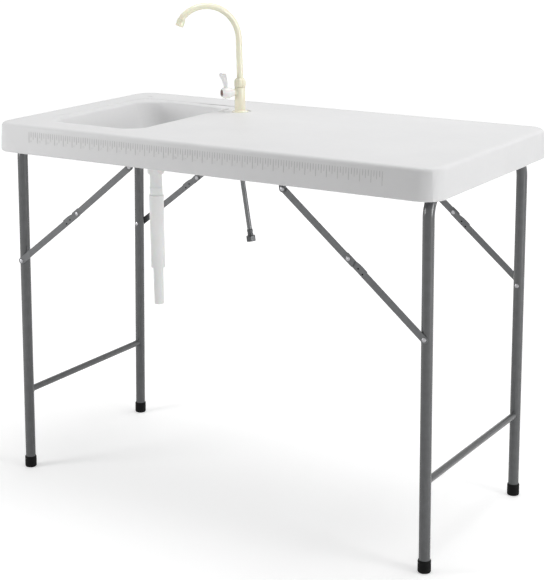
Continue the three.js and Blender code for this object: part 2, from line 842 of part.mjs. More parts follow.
// Rubber foot: a cap over the tube's end, cut level with the floor.
function foot(frame, end) {
  const tip = -frame.pivotZ / Math.cos(splay(frame));
  const mouth = tip + footHeight;
  const seat = -legLength(frame) - touchGap;
  const bore = legRadius + touchGap;
  const plug = (legRadius - legWall) * Math.cos(Math.PI / legBoreSides) - touchGap;
  const body = turned(
    [
      [0, tip - cutOverrun],
      [footRadius - footEdge, tip - cutOverrun],
      [footRadius, tip + footEdge],
      [footRadius, mouth - footEdge],
      [footRadius - footEdge / 2, mouth],
      [bore, mouth],
      [bore, seat],
      [plug, seat],
      [plug, mouth - footEdge],
      [0, mouth - footEdge],
    ],
    footSides,
  ).translate(0, end * frame.spread, 0);
  const floor = block(-footHeight, footHeight, -footHeight, footHeight, -footHeight * 2, 0)
    .rotateY(frame.side * splay(frame))
    .translate(0, end * frame.spread, tip);
  const where = end < 0 ? "front" : "rear";
  return piece(`${frame.name}_${where}_foot`, cut(body, floor), blackRubber);
}

// Steel strap under a frame's top tube: hooked up on the outer side, screwed down on the inner.
function strap(frame, end) {
  const inner = legRadius + touchGap;
  const outer = inner + strapThickness;
  const topZ = undersideZ - touchGap - frame.pivotZ;
  const flangeZ = topZ - strapThickness;
  const reach = outer + strapFlange;
  const outline = new THREE.Shape();
  outline.moveTo(-inner, topZ - strapHookGap);
  outline.lineTo(-outer, topZ - strapHookGap);
  outline.lineTo(-outer, 0);
  outline.absarc(0, 0, outer, Math.PI, fullTurn, false);
  outline.lineTo(outer, flangeZ);
  outline.lineTo(reach, flangeZ);
  outline.lineTo(reach, topZ);
  outline.lineTo(inner, topZ);
  outline.lineTo(inner, 0);
  outline.absarc(0, 0, inner, 0, Math.PI, true);
  outline.closePath();
  const y = end * strapSpread(frame);
  const body = plate(outline, y - strapWidth / 2, y + strapWidth / 2, strapArcSegments);
  const screwHole = rod(
    screwHoleRadius,
    flangeZ - cutOverrun,
    topZ + cutOverrun,
    rivetSides,
    outer + strapFlange / 2,
    y,
  );
  const drilled = cut(body, screwHole).scale(-frame.side, 1, 1);
  const where = end < 0 ? "front" : "rear";
  const mesh = piece(`${frame.name}_${where}_strap`, geometryOf(solid(drilled)), greyPaint);
  mesh.position.set(frame.side * frame.pivotX, 0, frame.pivotZ);
  return mesh;
}

// Places of a brace's three pivots in the XZ plane, with inward as +u.
function bracePoints(frame) {
  const foot0 = frame.pivotX + Math.tan(splay(frame)) * (frame.pivotZ - frame.rivetZ);
  const step = ([u, z], length, slope) => [u + length * Math.cos(slope), z + length * Math.sin(slope)];
  const leg = [-foot0, frame.rivetZ];
  const knuckle = step(leg, frame.lower, frame.lowerSlope);
  return { leg, knuckle, top: step(knuckle, frame.upper, frame.upperSlope) };
}

// Faces of the brace's layers, outwards from the leg: lower link, upper link, bracket ear.
function braceLayers(frame) {
  const lowerIn = frame.spread + legRadius + runningGap;
  const lowerOut = lowerIn + linkThickness;
  const upperIn = lowerOut + runningGap;
  const upperOut = upperIn + linkThickness;
  const earIn = upperOut + runningGap;
  return { lowerIn, lowerOut, upperIn, upperOut, earIn, earOut: earIn + earThickness };
}

// Round hole in an outline.
function hole(shape, x, y, radius) {
  const path = new THREE.Path();
  path.absarc(x, y, radius, 0, fullTurn, true);
  shape.holes.push(path);
}

// Lower link: leg rivet at the origin, knuckle at +x. The curved stop rises away from the knuckle
// and ends in a short step.
function lowerLinkShape(length) {
  const half = linkWidth / 2;
  const rampStart = length - stopBulgeStart;
  const rampEnd = rampStart - stopBulgeRamp;
  const bulgeEnd = rampStart - stopBulgeLength;
  const crest = half + stopBulgeRise;
  const shape = new THREE.Shape();
  shape.absarc(0, 0, half, quarterTurn, quarterTurn * 3, false);
  shape.lineTo(length, -half);
  shape.absarc(length, 0, half, -quarterTurn, quarterTurn, false);
  shape.lineTo(rampStart, half);
  shape.quadraticCurveTo((rampStart + rampEnd) / 2, crest, rampEnd, crest);
  shape.lineTo(bulgeEnd + stopBulgeRise, crest);
  shape.lineTo(bulgeEnd, half);
  shape.closePath();
  hole(shape, 0, 0, rivetRadius + rivetHoleGap);
  return shape;
}

// The two dimples pressed into the lower link's outer face.
function lowerLinkPits(length) {
  const first = length - stopPitFirst;
  const places = [[first, 0], [first - stopPitPitch, -stopPitOffset]];
  return places.map(([x, y]) => {
    const shape = new THREE.Shape();
    shape.absarc(x, y, stopPitRadius, 0, fullTurn, false);
    return shape;
  });
}

// Upper link: knuckle at the origin, top pivot at +x. Its end runs past the knuckle as a shoulder
// that stands above the link's upper edge and is cut aslant.
function upperLinkShape(length) {
  const half = linkWidth / 2;
  const crest = half + knuckleShoulderRise;
  const round = knuckleTailRound;
  const lean = (knuckleTailSlant * round) / (half + crest);
  const tip = -knuckleTail - knuckleTailSlant;
  const shape = new THREE.Shape();
  shape.absarc(length, 0, half, -quarterTurn, quarterTurn, false);
  shape.lineTo(knuckleShoulderStart + knuckleShoulderRise, half);
  shape.lineTo(knuckleShoulderStart, crest);
  shape.lineTo(round - knuckleTail, crest);
  shape.quadraticCurveTo(-knuckleTail, crest, -knuckleTail - lean, crest - round);
  shape.lineTo(tip + lean, round - half);
  shape.quadraticCurveTo(tip, -half, tip + round, -half);
  shape.closePath();
  hole(shape, 0, 0, rivetRadius + touchGap);
  hole(shape, length, 0, rivetRadius + rivetHoleGap);
  return shape;
}

// Lays outlines along the brace from one pivot, between two layers, on the front or rear side.
function alongBrace(shape, slope, frame, from, layer, end) {
  const body = plate(shape, layer[0], layer[1]);
  const flat = end < 0 ? body.scale(1, -1, 1) : body;
  const turnedBody = flat.rotateY(-slope);
  const facing = frame.side > 0 ? turnedBody.scale(-1, 1, 1) : turnedBody;
  return solid(facing.translate(-frame.side * from[0], 0, from[1]));
}

// Flat link with its dimples, if it has any.
function link(shape, pits, slope, frame, from, layer, end) {
  const pitLayer = [layer[1] - stopPitDepth, layer[1] + cutOverrun];
  let body = alongBrace(shape, slope, frame, from, layer, end);
  for (const pit of pits) {
    body = body.subtract(alongBrace(pit, slope, frame, from, pitLayer, end));
  }
  return geometryOf(body);
}

// Rivet along Y with a domed head at each end that is asked for.
function rivet(x, z, inner, outer, end, tail) {
  const [height, head] = [rivetHeadHeight, rivetHeadRadius];
  const profile = [
    [0, tail ? inner - height : inner],
    ...(tail ? [[rivetCrownRadius, inner - height], [head, inner - height / 2], [head, inner]] : []),
    [rivetRadius, inner],
    [rivetRadius, outer],
    [head, outer],
    [head, outer + height / 2],
    [rivetCrownRadius, outer + height],
    [0, outer + height],
  ];
  const points = profile.map(([radius, along]) => new THREE.Vector2(radius, along));
  const body = new THREE.LatheGeometry(points, rivetSides);
  const facing = end < 0 ? body.scale(1, -1, 1) : body;
  return geometryOf(solid(facing.translate(x, 0, z)));
}

// Bracket that hangs from the underside and carries a brace's upper pivot.
function bracket(frame, end) {
  const { top } = bracePoints(frame);
  const layers = braceLayers(frame);
  const half = earWidth / 2;
  const seatZ = undersideZ - touchGap;
  const ear = new THREE.Shape();
  ear.moveTo(half, seatZ);
  ear.lineTo(-half, seatZ);
  ear.lineTo(-linkWidth / 2, top[1]);
  ear.absarc(0, top[1], linkWidth / 2, Math.PI, fullTurn, false);
  ear.closePath();
  hole(ear, 0, top[1], rivetRadius + touchGap);
  const wall = plate(ear, layers.earIn, layers.earOut);
  const flange = block(
    -half,
    half,
    layers.earIn,
    layers.earOut + earFoot,
    seatZ - earThickness,
    seatZ,
  );
  const holes = [-1, 1].map((hand) => rod(
    screwHoleRadius,
    seatZ - earThickness - cutOverrun,
    seatZ + cutOverrun,
    rivetSides,
    (hand * bracketScrewPitch) / 2,
    layers.earOut + bracketScrewReach,
  ));
  const body = cut(join(wall, flange), ...holes);
  const facing = end < 0 ? body.scale(1, -1, 1) : body;
  const where = end < 0 ? "front" : "rear";
  return piece(
    `${frame.name}_${where}_bracket`,
    geometryOf(solid(facing.translate(-frame.side * top[0], 0, 0))),
    greyPaint,
  );
}

// The pieces of one brace, with its rivets and its bracket.
function brace(frame, end) {
  const { leg, knuckle, top } = bracePoints(frame);
  const layers = braceLayers(frame);
  const where = end < 0 ? "front" : "rear";
  const name = `${frame.name}_${where}`;
  const group = new THREE.Group();
  const lowerLayer = [layers.lowerIn, layers.lowerOut];
  const upperLayer = [layers.upperIn, layers.upperOut];
  const { lower, lowerSlope, upper, upperSlope } = frame;
  const pits = lowerLinkPits(lower);
  const lowerBody = link(lowerLinkShape(lower), pits, lowerSlope, frame, leg, lowerLayer, end);
  const upperBody = link(upperLinkShape(upper), [], upperSlope, frame, knuckle, upperLayer, end);
  group.add(piece(`${name}_lower_link`, lowerBody, linkSteel));
  group.add(piece(`${name}_upper_link`, upperBody, linkSteel));
  group.add(bracket(frame, end));
  const legIn = frame.spread - legRadius - touchGap;
  const rivets = [
    ["leg_rivet", leg, legIn, layers.lowerOut + touchGap, true],
    ["knuckle_rivet", knuckle, layers.upperIn, layers.upperOut + touchGap, false],
    ["top_rivet", top, layers.upperIn, layers.earOut + touchGap, false],
  ];
  for (const [label, place, inner, outer, tail] of rivets) {
    const body = rivet(-frame.side * place[0], place[1], inner, outer, end, tail);
    group.add(piece(`${name}_${label}`, body, rivetSteel));
  }
  return group;
}

// One folding leg frame with its feet, straps and braces.
function legAssembly(frame) {
  const group = new THREE.Group();
  const leaning = new THREE.Group();
  leaning.position.set(frame.side * frame.pivotX, 0, frame.pivotZ);
  leaning.rotation.y = -frame.side * splay(frame);
  leaning.add(legTube(frame), crossbar(frame), foot(frame, -1), foot(frame, 1));
  group.add(leaning);
  for (const end of [-1, 1]) {
    group.add(strap(frame, end), brace(frame, end));
  }
  return group;
}

// Tap body: flange, column, side neck for the valve and threaded shank through the top.
function tapBody() {
  const column = turned(
    [
      [0, -tapShankLength],
      [tapShankRadius, -tapShankLength],
      [tapShankRadius, 0],
      [tapFlangeRadius, 0],
      [tapFlangeRadius, tapFlangeRim],
      [tapFlangeRadius - tapFlangeEdge, tapFlangeHeight],
      [tapBodyRadius + tapFootFillet, tapFlangeHeight],
      [tapBodyRadius, tapFlangeHeight + tapFootFillet],
      [tapBodyRadius, tapBodyHeight],
      [0, tapBodyHeight],
    ],
    tapSides,
  );
  const neckEnd = valveNeckLength + spindleLength;
  const neck = rod(valveNeckRadius, 0, valveNeckLength, tapSides)
    .rotateY(quarterTurn)
    .translate(0, 0, valveHeight);
  const spindle = rod(spindleRadius, valveNeckLength - cutOverrun, neckEnd, tapSides)
    .rotateY(quarterTurn)
    .translate(0, 0, valveHeight);
  const bore = rod(tapBoreRadius, tapBodyHeight - tapBoreDepth, tapBodyHeight + cutOverrun, tapSides);
  return piece("tap_body", cut(join(column, neck, spindle), bore), ivoryPlastic);
}

// Fluted collar that holds the spout's foot on the swivel seat.
function swivelCollar() {
  const seat = tapBodyHeight + touchGap;
  const top = seat + collarHeight;
  const bore = spoutRadius + runningGap;
  const shell = turnedShell(
    [
      [collarRadius - collarEdge, seat],
      [collarRadius, seat + collarEdge],
      [collarRadius, top - collarCone],
      [spoutRadius + collarLip, top],
    ],
    [[bore, seat], [bore, top]],
    tapSides,
  );
  const flutes = Array.from({ length: collarFlutes }, (_, i) => {
    const angle = ((i + 0.5) * fullTurn) / collarFlutes;
    return rod(
      collarFluteRadius,
      seat - cutOverrun,
      top + cutOverrun,
      rivetSides,
      collarFluteReach * Math.cos(angle),
      collarFluteReach * Math.sin(angle),
    );
  });
  return piece("swivel_collar", cut(shell, ...flutes), ivoryPlastic);
}

// Centre line of the spout in the XZ plane, from inside the collar to the outlet.
function spoutStations() {
  const lean = radians(spoutLean);
  const bowEnd = quarterTurn - radians(spoutBowEnd);
  const end = quarterTurn - radians(spoutTipEnd);
  const place = (x, z) => new THREE.Vector3(x, 0, z);
  const foot = place(0, tapBodyHeight + touchGap * 2);
  const bend = place(0, tapBodyHeight + collarHeight + spoutRadius);
  const riser = new THREE.Vector3(Math.sin(lean), 0, Math.cos(lean));
  const start = bend.clone().addScaledVector(riser, spoutRiser - collarHeight - spoutRadius);
  const centre = [start.x + spoutBowRadius * Math.cos(lean), start.z - spoutBowRadius * Math.sin(lean)];
  const bow = arc(centre, spoutBowRadius, Math.PI - lean, bowEnd, spoutSteps, place);
  const inward = spoutBowRadius - spoutTipRadius;
  const tipCentre = [centre[0] + inward * Math.cos(bowEnd), centre[1] + inward * Math.sin(bowEnd)];
  const tip = arc(tipCentre, spoutTipRadius, bowEnd, end, spoutTipSteps, place);
  const heading = new THREE.Vector3(Math.sin(end), 0, -Math.cos(end));
  const outlet = tip[tip.length - 1].clone().addScaledVector(heading, aeratorSeat);
  return [foot, bend, ...bow, ...tip.slice(1), outlet];
}

// Gooseneck spout with the bore that the water runs through.
function spout() {
  const body = tube(spoutStations(), spoutRadius, spoutSides, spoutBoreRadius, spoutBoreSides);
  return piece("spout", geometryOf(solid(body)), ivoryPlastic);
}

// Aerator on the spout's end.
function aerator() {
  const inner = spoutRadius + touchGap;
  const back = aeratorSeat;
  const front = aeratorLength - aeratorSeat;
  const body = turnedShell(
    [
      [aeratorRadius - aeratorEdge, -front],
      [aeratorRadius, aeratorEdge - front],
      [aeratorRadius, back - aeratorEdge],
      [aeratorRadius - aeratorEdge, back],
    ],
    [[aeratorBoreRadius, -front], [aeratorBoreRadius, -touchGap], [inner, -touchGap], [inner, back]],
    tapSides,
  );
  const stations = spoutStations();
  const mesh = piece("aerator", geometryOf(solid(body)), clearPlastic);
  mesh.position.copy(stations[stations.length - 1]);
  mesh.rotation.y = radians(spoutTipEnd) - quarterTurn;
  return mesh;
}

// Outline of the lever seen along the valve's axis: narrow at the hub, broad at the round tip.
function leverBlade() {
  const [root, tip] = [leverRootWidth / 2, leverTipWidth / 2];
  const rings = [];
  for (let i = 0; i <= leverSegments; i += 1) {
    const share = i / leverSegments;
    const past = Math.max((share - leverTipShare) / (1 - leverTipShare), 0);
    const round = Math.sqrt(Math.max(1 - past * past, leverEndShare * leverEndShare));
    const half = (root + (tip - root) * Math.sin(share * quarterTurn)) * round;
    const thick = (leverRootThickness + (leverTipThickness - leverRootThickness) * share) * round / 2;
    const lean = leverLean * share * share;
    const x = hubLength / 2 + lean;
    rings.push(ring(x, 0, thick, half, thick, share * leverRise, leverCornerSegments));
  }
  return loft(rings);
}

// Lever: a round hub on the valve's spindle with a spoon-shaped blade.
function lever() {
  const hub = turned(
    [
      [0, hubLength],
      [hubRadius - hubEdge, hubLength],
      [hubRadius, hubLength - hubEdge],
      [hubRadius, hubEdge],
      [hubRadius - hubEdge / 2, 0],
      [0, 0],
    ],
    tapSides,
  ).rotateY(quarterTurn);
  const spindleHole = rod(
    spindleRadius + runningGap,
    -cutOverrun,
    spindleLength + touchGap,
    tapSides,
  ).rotateY(quarterTurn);
  const capSeat = rod(
    hubBoreRadius,
    hubLength - hubBoreDepth,
    hubLength + cutOverrun,
    tapSides,
  ).rotateY(quarterTurn);
  const body = cut(join(hub, leverBlade()), spindleHole, capSeat);
  const mesh = piece("lever", body, clearPlastic);
  mesh.position.set(valveNeckLength + touchGap, 0, valveHeight);
  return mesh;
}

// Brown cap in the lever's hub.
function leverCap() {
  const radius = hubBoreRadius - touchGap;
  const body = turned(
    [
      [0, 0],
      [radius, 0],
      [radius, capThickness - capEdge],
      [radius - capSlope, capThickness],
      [0, capThickness],
    ],
    tapSides,
  ).rotateY(quarterTurn);
  const mesh = piece("lever_cap", geometryOf(solid(body)), brownPlastic);
  mesh.position.set(valveNeckLength + 2 * touchGap + hubLength - hubBoreDepth, 0, valveHeight);
  return mesh;
}

// Washer and winged nut that clamp the tap to the top from below.
function tapWasher() {
  const z0 = undersideZ - ledgeZ - touchGap - washerHeight;
  const inner = tapShankRadius + touchGap;
  const shell = turnedShell(
    [[washerRadius, z0], [washerRadius, z0 + washerHeight]],
    [[inner, z0], [inner, z0 + washerHeight]],
    tapSides,
  );
  return piece("tap_washer", geometryOf(solid(shell)), blackRubber);
}

function tapLockNut() {
  const z1 = undersideZ - ledgeZ - touchGap * 2 - washerHeight;
  const z0 = z1 - lockNutHeight;
  const inner = tapShankRadius + touchGap;
  const shell = turnedShell(
    [[lockNutRadius - nutChamfer, z0], [lockNutRadius, z0 + nutChamfer], [lockNutRadius, z1]],
    [[inner, z0], [inner, z1]],
    tapSides,
  );
  const wings = Array.from({ length: lockNutWings }, (_, i) => block(
    (inner + lockNutRadius) / 2,
    lockNutRadius + lockNutWingReach,
    -lockNutWingWidth / 2,
    lockNutWingWidth / 2,
    z0,
    z1 - lockNutWingDrop,
  ).rotateZ((i * fullTurn) / lockNutWings));
  return piece("tap_lock_nut", join(shell, ...wings), ivoryPlastic);
}

// The tap with its spout and lever, turned to face the bowl.
function tap() {
  const group = new THREE.Group();
  group.position.set(tapX, tapY, ledgeZ + touchGap);
  const facing = new THREE.Group();
  facing.rotation.z = radians(tapHeading);
  facing.add(tapBody(), swivelCollar(), spout(), aerator(), lever(), leverCap());
  group.add(facing, tapWasher(), tapLockNut());
  return group;
}

// Drain fitting: flange in the bowl and a stepped tail through the collar.
function drainFitting() {
  const flangeZ = sinkFloorZ - drainDishDepth + touchGap;
  const tailZ = bossZ - drainTailBelowBoss;
  const stepZ = tailZ + drainTailEndLength;
  const body = turnedShell(
    [
      [drainTailEndRadius, tailZ],
      [drainTailEndRadius, stepZ],
      [drainTailRadius, stepZ],
      [drainTailRadius, flangeZ],
      [drainHoleRadius + touchGap, flangeZ + touchGap],
      [drainFlangeRadius, flangeZ + drainDishSlope() + touchGap],
      [drainFlangeRadius, flangeZ + drainDishSlope() + drainFlangeHeight],
    ],
    [
      [drainTailBore, tailZ],
      [drainTailBore, flangeZ + drainDishSlope() + drainFlangeHeight],
    ],
    drainSides,
  );
  const mesh = piece("drain_fitting", geometryOf(solid(body)), milkyPlastic);
  mesh.position.set(drainX, drainY, 0);
  return mesh;
}

// Rise of the dished floor from the drain hole to the flange's edge.
function drainDishSlope() {
  return (drainDishDepth * (drainFlangeRadius - drainHoleRadius)) / (drainDishRadius - drainHoleRadius);
}

// Slotted strainer that rests on the drain's flange.
function strainer() {
  const z0 = sinkFloorZ - drainDishDepth + drainDishSlope() + drainFlangeHeight + touchGap * 2;
  const z1 = z0 + strainerHeight;
  const disc = turned(
    [[0, z0], [strainerRadius, z0], [strainerRadius - strainerEdge, z1], [0, z1 + strainerCrown]],
    drainSides,
  );
  const slots = Array.from({ length: strainerSlots }, (_, i) => block(
    strainerSlotFirst,
    strainerSlotFirst + strainerSlotLength,
    -strainerSlotWidth / 2,
    strainerSlotWidth / 2,
    z0 - cutOverrun,
    z1 + cutOverrun,
  ).rotateZ((i * fullTurn) / strainerSlots));
  const mesh = piece("strainer", cut(disc, ...slots), chromeSteel);
  mesh.position.set(drainX, drainY, 0);
  return mesh;
}

// Nut that clamps the drain fitting under the collar.
function drainNut() {
  const z1 = bossZ - touchGap;
  const z0 = z1 - drainNutHeight;
  const bore = [drainTailRadius + touchGap, z0 - cutOverrun, z1 + cutOverrun];
  const body = nut(drainNutRadius, nutChamfer, z0, z1, drainNutSides, [bore]);
  const mesh = piece("drain_nut", body, milkyPlastic);
  mesh.position.set(drainX, drainY, 0);
  return mesh;
}

// Coupling, sleeve and telescoping pipe, which hang a little out of plumb.
function drainPipe() {
  const group = new THREE.Group();
  const hang = bossZ - drainTailBelowBoss + drainTailEndLength;
  group.position.set(drainX, drainY, hang);
  group.rotation.y = -radians(drainLean);
  const inner = drainTailEndRadius + runningGap * 2;
  const couplingTop = -touchGap * 3;
  const couplingFoot = couplingTop - couplingHeight;
  const coupling = turnedShell(
    [
      [couplingRadius - drainEdge, couplingFoot],
      [couplingRadius, couplingFoot + drainEdge],
      [couplingRadius, couplingTop],
    ],
    [[inner, couplingFoot], [inner, couplingTop]],
    drainSides,
  );
  const sleeveTop = couplingFoot - touchGap;
  const sleeveFoot = sleeveTop - sleeveLength;
  const sleeve = turnedShell(
    [
      [sleeveFootRadius, sleeveFoot],
      [sleeveTopRadius, sleeveTop - drainEdge],
      [sleeveTopRadius - drainEdge, sleeveTop],
    ],
    [[sleeveBore, sleeveFoot], [sleeveBore, sleeveTop]],
    drainSides,
  );
  const pipeTop = sleeveFoot + pipeHidden;
  const pipeFoot = sleeveFoot - pipeShown;
  const beadZ = pipeFoot + pipeBeadHeight;
  const pipe = turnedShell(
    [
      [pipeTipRadius - drainEdge, pipeFoot],
      [pipeTipRadius, pipeFoot + drainEdge],
      [pipeTipRadius, beadZ],
      [pipeTipRadius + pipeBeadRise, beadZ + pipeBeadWidth / 2],
      [pipeTipRadius, beadZ + pipeBeadWidth],
      [pipeRadius, sleeveFoot],
      [pipeRadius, pipeTop - pipeCollarHeight],
      [sleeveBore - runningGap, pipeTop - pipeCollarHeight + pipeCollarSlope],
      [sleeveBore - runningGap, pipeTop],
    ],
    [
      [pipeTipRadius - pipeWall, pipeFoot],
      [pipeRadius - pipeWall, sleeveFoot],
      [pipeRadius - pipeWall, pipeTop],
    ],
    drainSides,
  );
  group.add(
    piece("drain_coupling", geometryOf(solid(coupling)), milkyPlastic),
    piece("drain_sleeve", geometryOf(solid(sleeve)), milkyPlastic),
    piece("drain_pipe", geometryOf(solid(pipe)), milkyPlastic),
  );
  return group;
}

// Nut at the hose's upper end, screwed on the tap's shank.
function hoseTailNut() {
  const z0 = hoseExitZ();
  const z1 = z0 + tailNutHeight;
  const seat = z0 + tailNutWeb;
  const body = nut(tailNutRadius, nutChamfer, z0, z1, tailNutSides, [
    [hoseRadius + touchGap, z0 - cutOverrun, z1],
    [tapShankRadius + touchGap, seat, z1 + cutOverrun],
  ]);
  const mesh = piece("hose_tail_nut", body, chromeSteel);
  mesh.position.set(tapX, tapY, 0);
  return mesh;
}

// Height at which the hose leaves the tail nut.
function hoseExitZ() {
  return ledgeZ + touchGap - tapShankLength - touchGap - tailNutWeb;
}

// The hose, its ferrule and the nut on its end.
function hose() {
  const start = new THREE.Vector3(tapX, tapY, hoseExitZ() - touchGap);
  const points = hoseRoute.map(([x, y, z]) => new THREE.Vector3(x, y, z).add(start));
  const curve = new THREE.CatmullRomCurve3(points, false, "centripetal");
  const body = new THREE.ExtrudeGeometry(roundSection(hoseRadius, hoseSides), {
    steps: hoseSteps,
    extrudePath: curve,
    bevelEnabled: false,
  });
  const end = curve.getPointAt(1);
  const heading = curve.getTangentAt(1);
  const down = new THREE.Vector3(0, 0, -1);
  const fittings = new THREE.Group();
  fittings.position.copy(end);
  fittings.quaternion.setFromUnitVectors(down, heading);
  const ferruleTop = -touchGap;
  const ferruleFoot = ferruleTop - ferruleLength;
  const crimpZ = ferruleFoot + ferruleCrimpFirst + ferruleCrimpHalf;
  const ferrule = turned(
    [
      [0, ferruleFoot - nippleLength],
      [hoseRadius, ferruleFoot - nippleLength],
      [hoseRadius, ferruleFoot],
      [ferruleRadius, ferruleFoot],
      [ferruleRadius, crimpZ - ferruleCrimpHalf],
      [ferruleRadius - ferruleCrimpDepth, crimpZ],
      [ferruleRadius, crimpZ + ferruleCrimpHalf],
      [ferruleRadius, ferruleTop],
      [0, ferruleTop],
    ],
    tapSides,
  );
  const nutTop = ferruleFoot - touchGap;
  const nutFoot = nutTop - hoseNutHeight;
  const web = nutTop - hoseNutWeb;
  const nutBody = nut(hoseNutRadius, nutChamfer, nutFoot, nutTop, hoseNutSides, [
    [hoseRadius + runningGap, nutFoot - cutOverrun, nutTop + cutOverrun],
    [hoseNutBore, nutFoot - cutOverrun, web],
  ]);
  fittings.add(
    piece("hose_ferrule", geometryOf(solid(ferrule)), chromeSteel),
    piece("hose_nut", nutBody, chromeSteel),
  );
  const group = new THREE.Group();
  group.add(piece("supply_hose", geometryOf(solid(body)), braidSteel), fittings);
  return group;
}

const fishTable = new THREE.Group();
fishTable.add(
  tableTop(),
  ...frames.map(legAssembly),
  tap(),
  drainFitting(),
  strainer(),
  drainNut(),
  drainPipe(),
  hoseTailNut(),
  hose(),
);

export default fishTable;
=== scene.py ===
"""Visual model of a folding fish cleaning table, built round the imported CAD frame.

Lengths are metres in the CAD frame's axes: +X runs along the table away from the sink, +Y to the rear
edge behind the tap and +Z up, with the origin on the floor under the middle of the top. Each
sub-assembly is a class that makes its meshes as numpy surfaces and dresses them with node materials.
"""

from __future__ import annotations

import logging
import math
from dataclasses import dataclass, field
from enum import Enum
from functools import cache
from typing import Sequence

import bmesh
import bpy
import numpy as np
from mathutils import Matrix, Vector


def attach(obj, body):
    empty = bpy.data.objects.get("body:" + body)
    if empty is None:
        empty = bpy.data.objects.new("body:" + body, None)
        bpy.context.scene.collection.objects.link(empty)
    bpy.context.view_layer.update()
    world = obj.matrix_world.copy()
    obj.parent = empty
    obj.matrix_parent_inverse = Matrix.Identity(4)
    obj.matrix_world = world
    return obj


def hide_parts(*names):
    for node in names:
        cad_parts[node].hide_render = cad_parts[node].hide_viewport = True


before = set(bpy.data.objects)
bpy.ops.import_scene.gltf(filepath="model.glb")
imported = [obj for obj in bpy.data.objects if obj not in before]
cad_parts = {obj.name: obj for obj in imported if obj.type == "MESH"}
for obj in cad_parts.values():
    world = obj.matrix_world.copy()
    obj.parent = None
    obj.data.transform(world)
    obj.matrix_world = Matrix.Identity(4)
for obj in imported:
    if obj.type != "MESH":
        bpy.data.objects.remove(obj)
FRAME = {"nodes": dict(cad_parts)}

log = logging.getLogger("fish_table")

MM = 0.001
WELD = 1e-6
SHARP_ANGLE = math.radians(34)
FLAT_ANGLE = math.radians(0.5)
FULL_TURN = 2 * math.pi
QUARTER_TURN = math.pi / 2
ROUNDING_STEPS = 4
ROUNDED_SHARE = 0.4
THREAD_POINTS = 24
ALONG_X, ALONG_Y = np.eye(3)[:2]
Array = np.ndarray
Profile = Sequence[tuple[float, float]]
Feeds = dict[str | int, object]


class Named(Enum):
    """Choice whose name, in small letters, is part of the names of nodes and bodies."""

    @property
    def label(self) -> str:
        """Name in small letters."""
        return self.name.lower()


class Side(Named):
    """End of the table that a leg frame stands at; the value is its sign along X."""

    LEFT = -1
    RIGHT = 1


class Row(Named):
    """Long edge of the table that a leg stands at; the value is its sign along Y."""

    FRONT = -1
    REAR = 1


class Slot(Enum):
    """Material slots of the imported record."""

    TOP = "top"
    FRAME = "frame_paint"
    LINK = "link_paint"
    RIVET = "rivet"
    RUBBER = "rubber"
    TAP = "tap_plastic"
    LEVER = "lever_plastic"
    CAP = "cap_plastic"
    DRAIN = "drain_plastic"
    BRAID = "hose_braid"
    CHROME = "chrome"


# Surfaces worked out on grids.


def around(sides: int) -> Array:
    """Angles of equal steps round a full turn."""
    return np.arange(sides) / sides * FULL_TURN


def bump(x: Array | float, middle: float, width: float) -> Array | float:
    """Bell curve exp(-((x - middle) / width)^2)."""
    return np.exp(-(((x - middle) / width) ** 2))


def at(place: Sequence[float], turn: float = 0.0, axis: str = "Z") -> Matrix:
    """Matrix that turns about an axis through the origin and then carries to a place."""
    return Matrix.Translation(place) @ Matrix.Rotation(turn, 4, axis)


def at_end(line: Array) -> Matrix:
    """Matrix to a line's last point that turns Z back along the line."""
    back = Vector((line[-2] - line[-1]).tolist()).normalized()
    return Matrix.Translation(line[-1].tolist()) @ back.to_track_quat("Z", "Y").to_matrix().to_4x4()


def linked(name: str, data: bpy.types.ID) -> bpy.types.Object:
    """New object in the scene.

    Args:
        name: Name of the object.
        data: Its mesh, curve, lamp or camera.

    Returns:
        The object, at the origin.
    """
    made = bpy.data.objects.new(name, data)
    bpy.context.scene.collection.objects.link(made)
    return made


def grid_faces(rows: int, columns: int, close_rows: bool) -> Array:
    """Quads of a grid whose vertex number is row * columns + column, its last column joined to the first.

    Args:
        rows: Number of grid rows.
        columns: Number of grid columns.
        close_rows: Join the last row with the first.

    Returns:
        Array of four vertex numbers for each quad.
    """
    row, column = np.arange(rows if close_rows else rows - 1)[:, None], np.arange(columns)
    below, right = (row + 1) % rows, (column + 1) % columns
    corners = [r * columns + c for r, c in ((row, column), (row, right), (below, right), (below, column))]
    return np.stack(corners, -1).reshape(-1, 4)


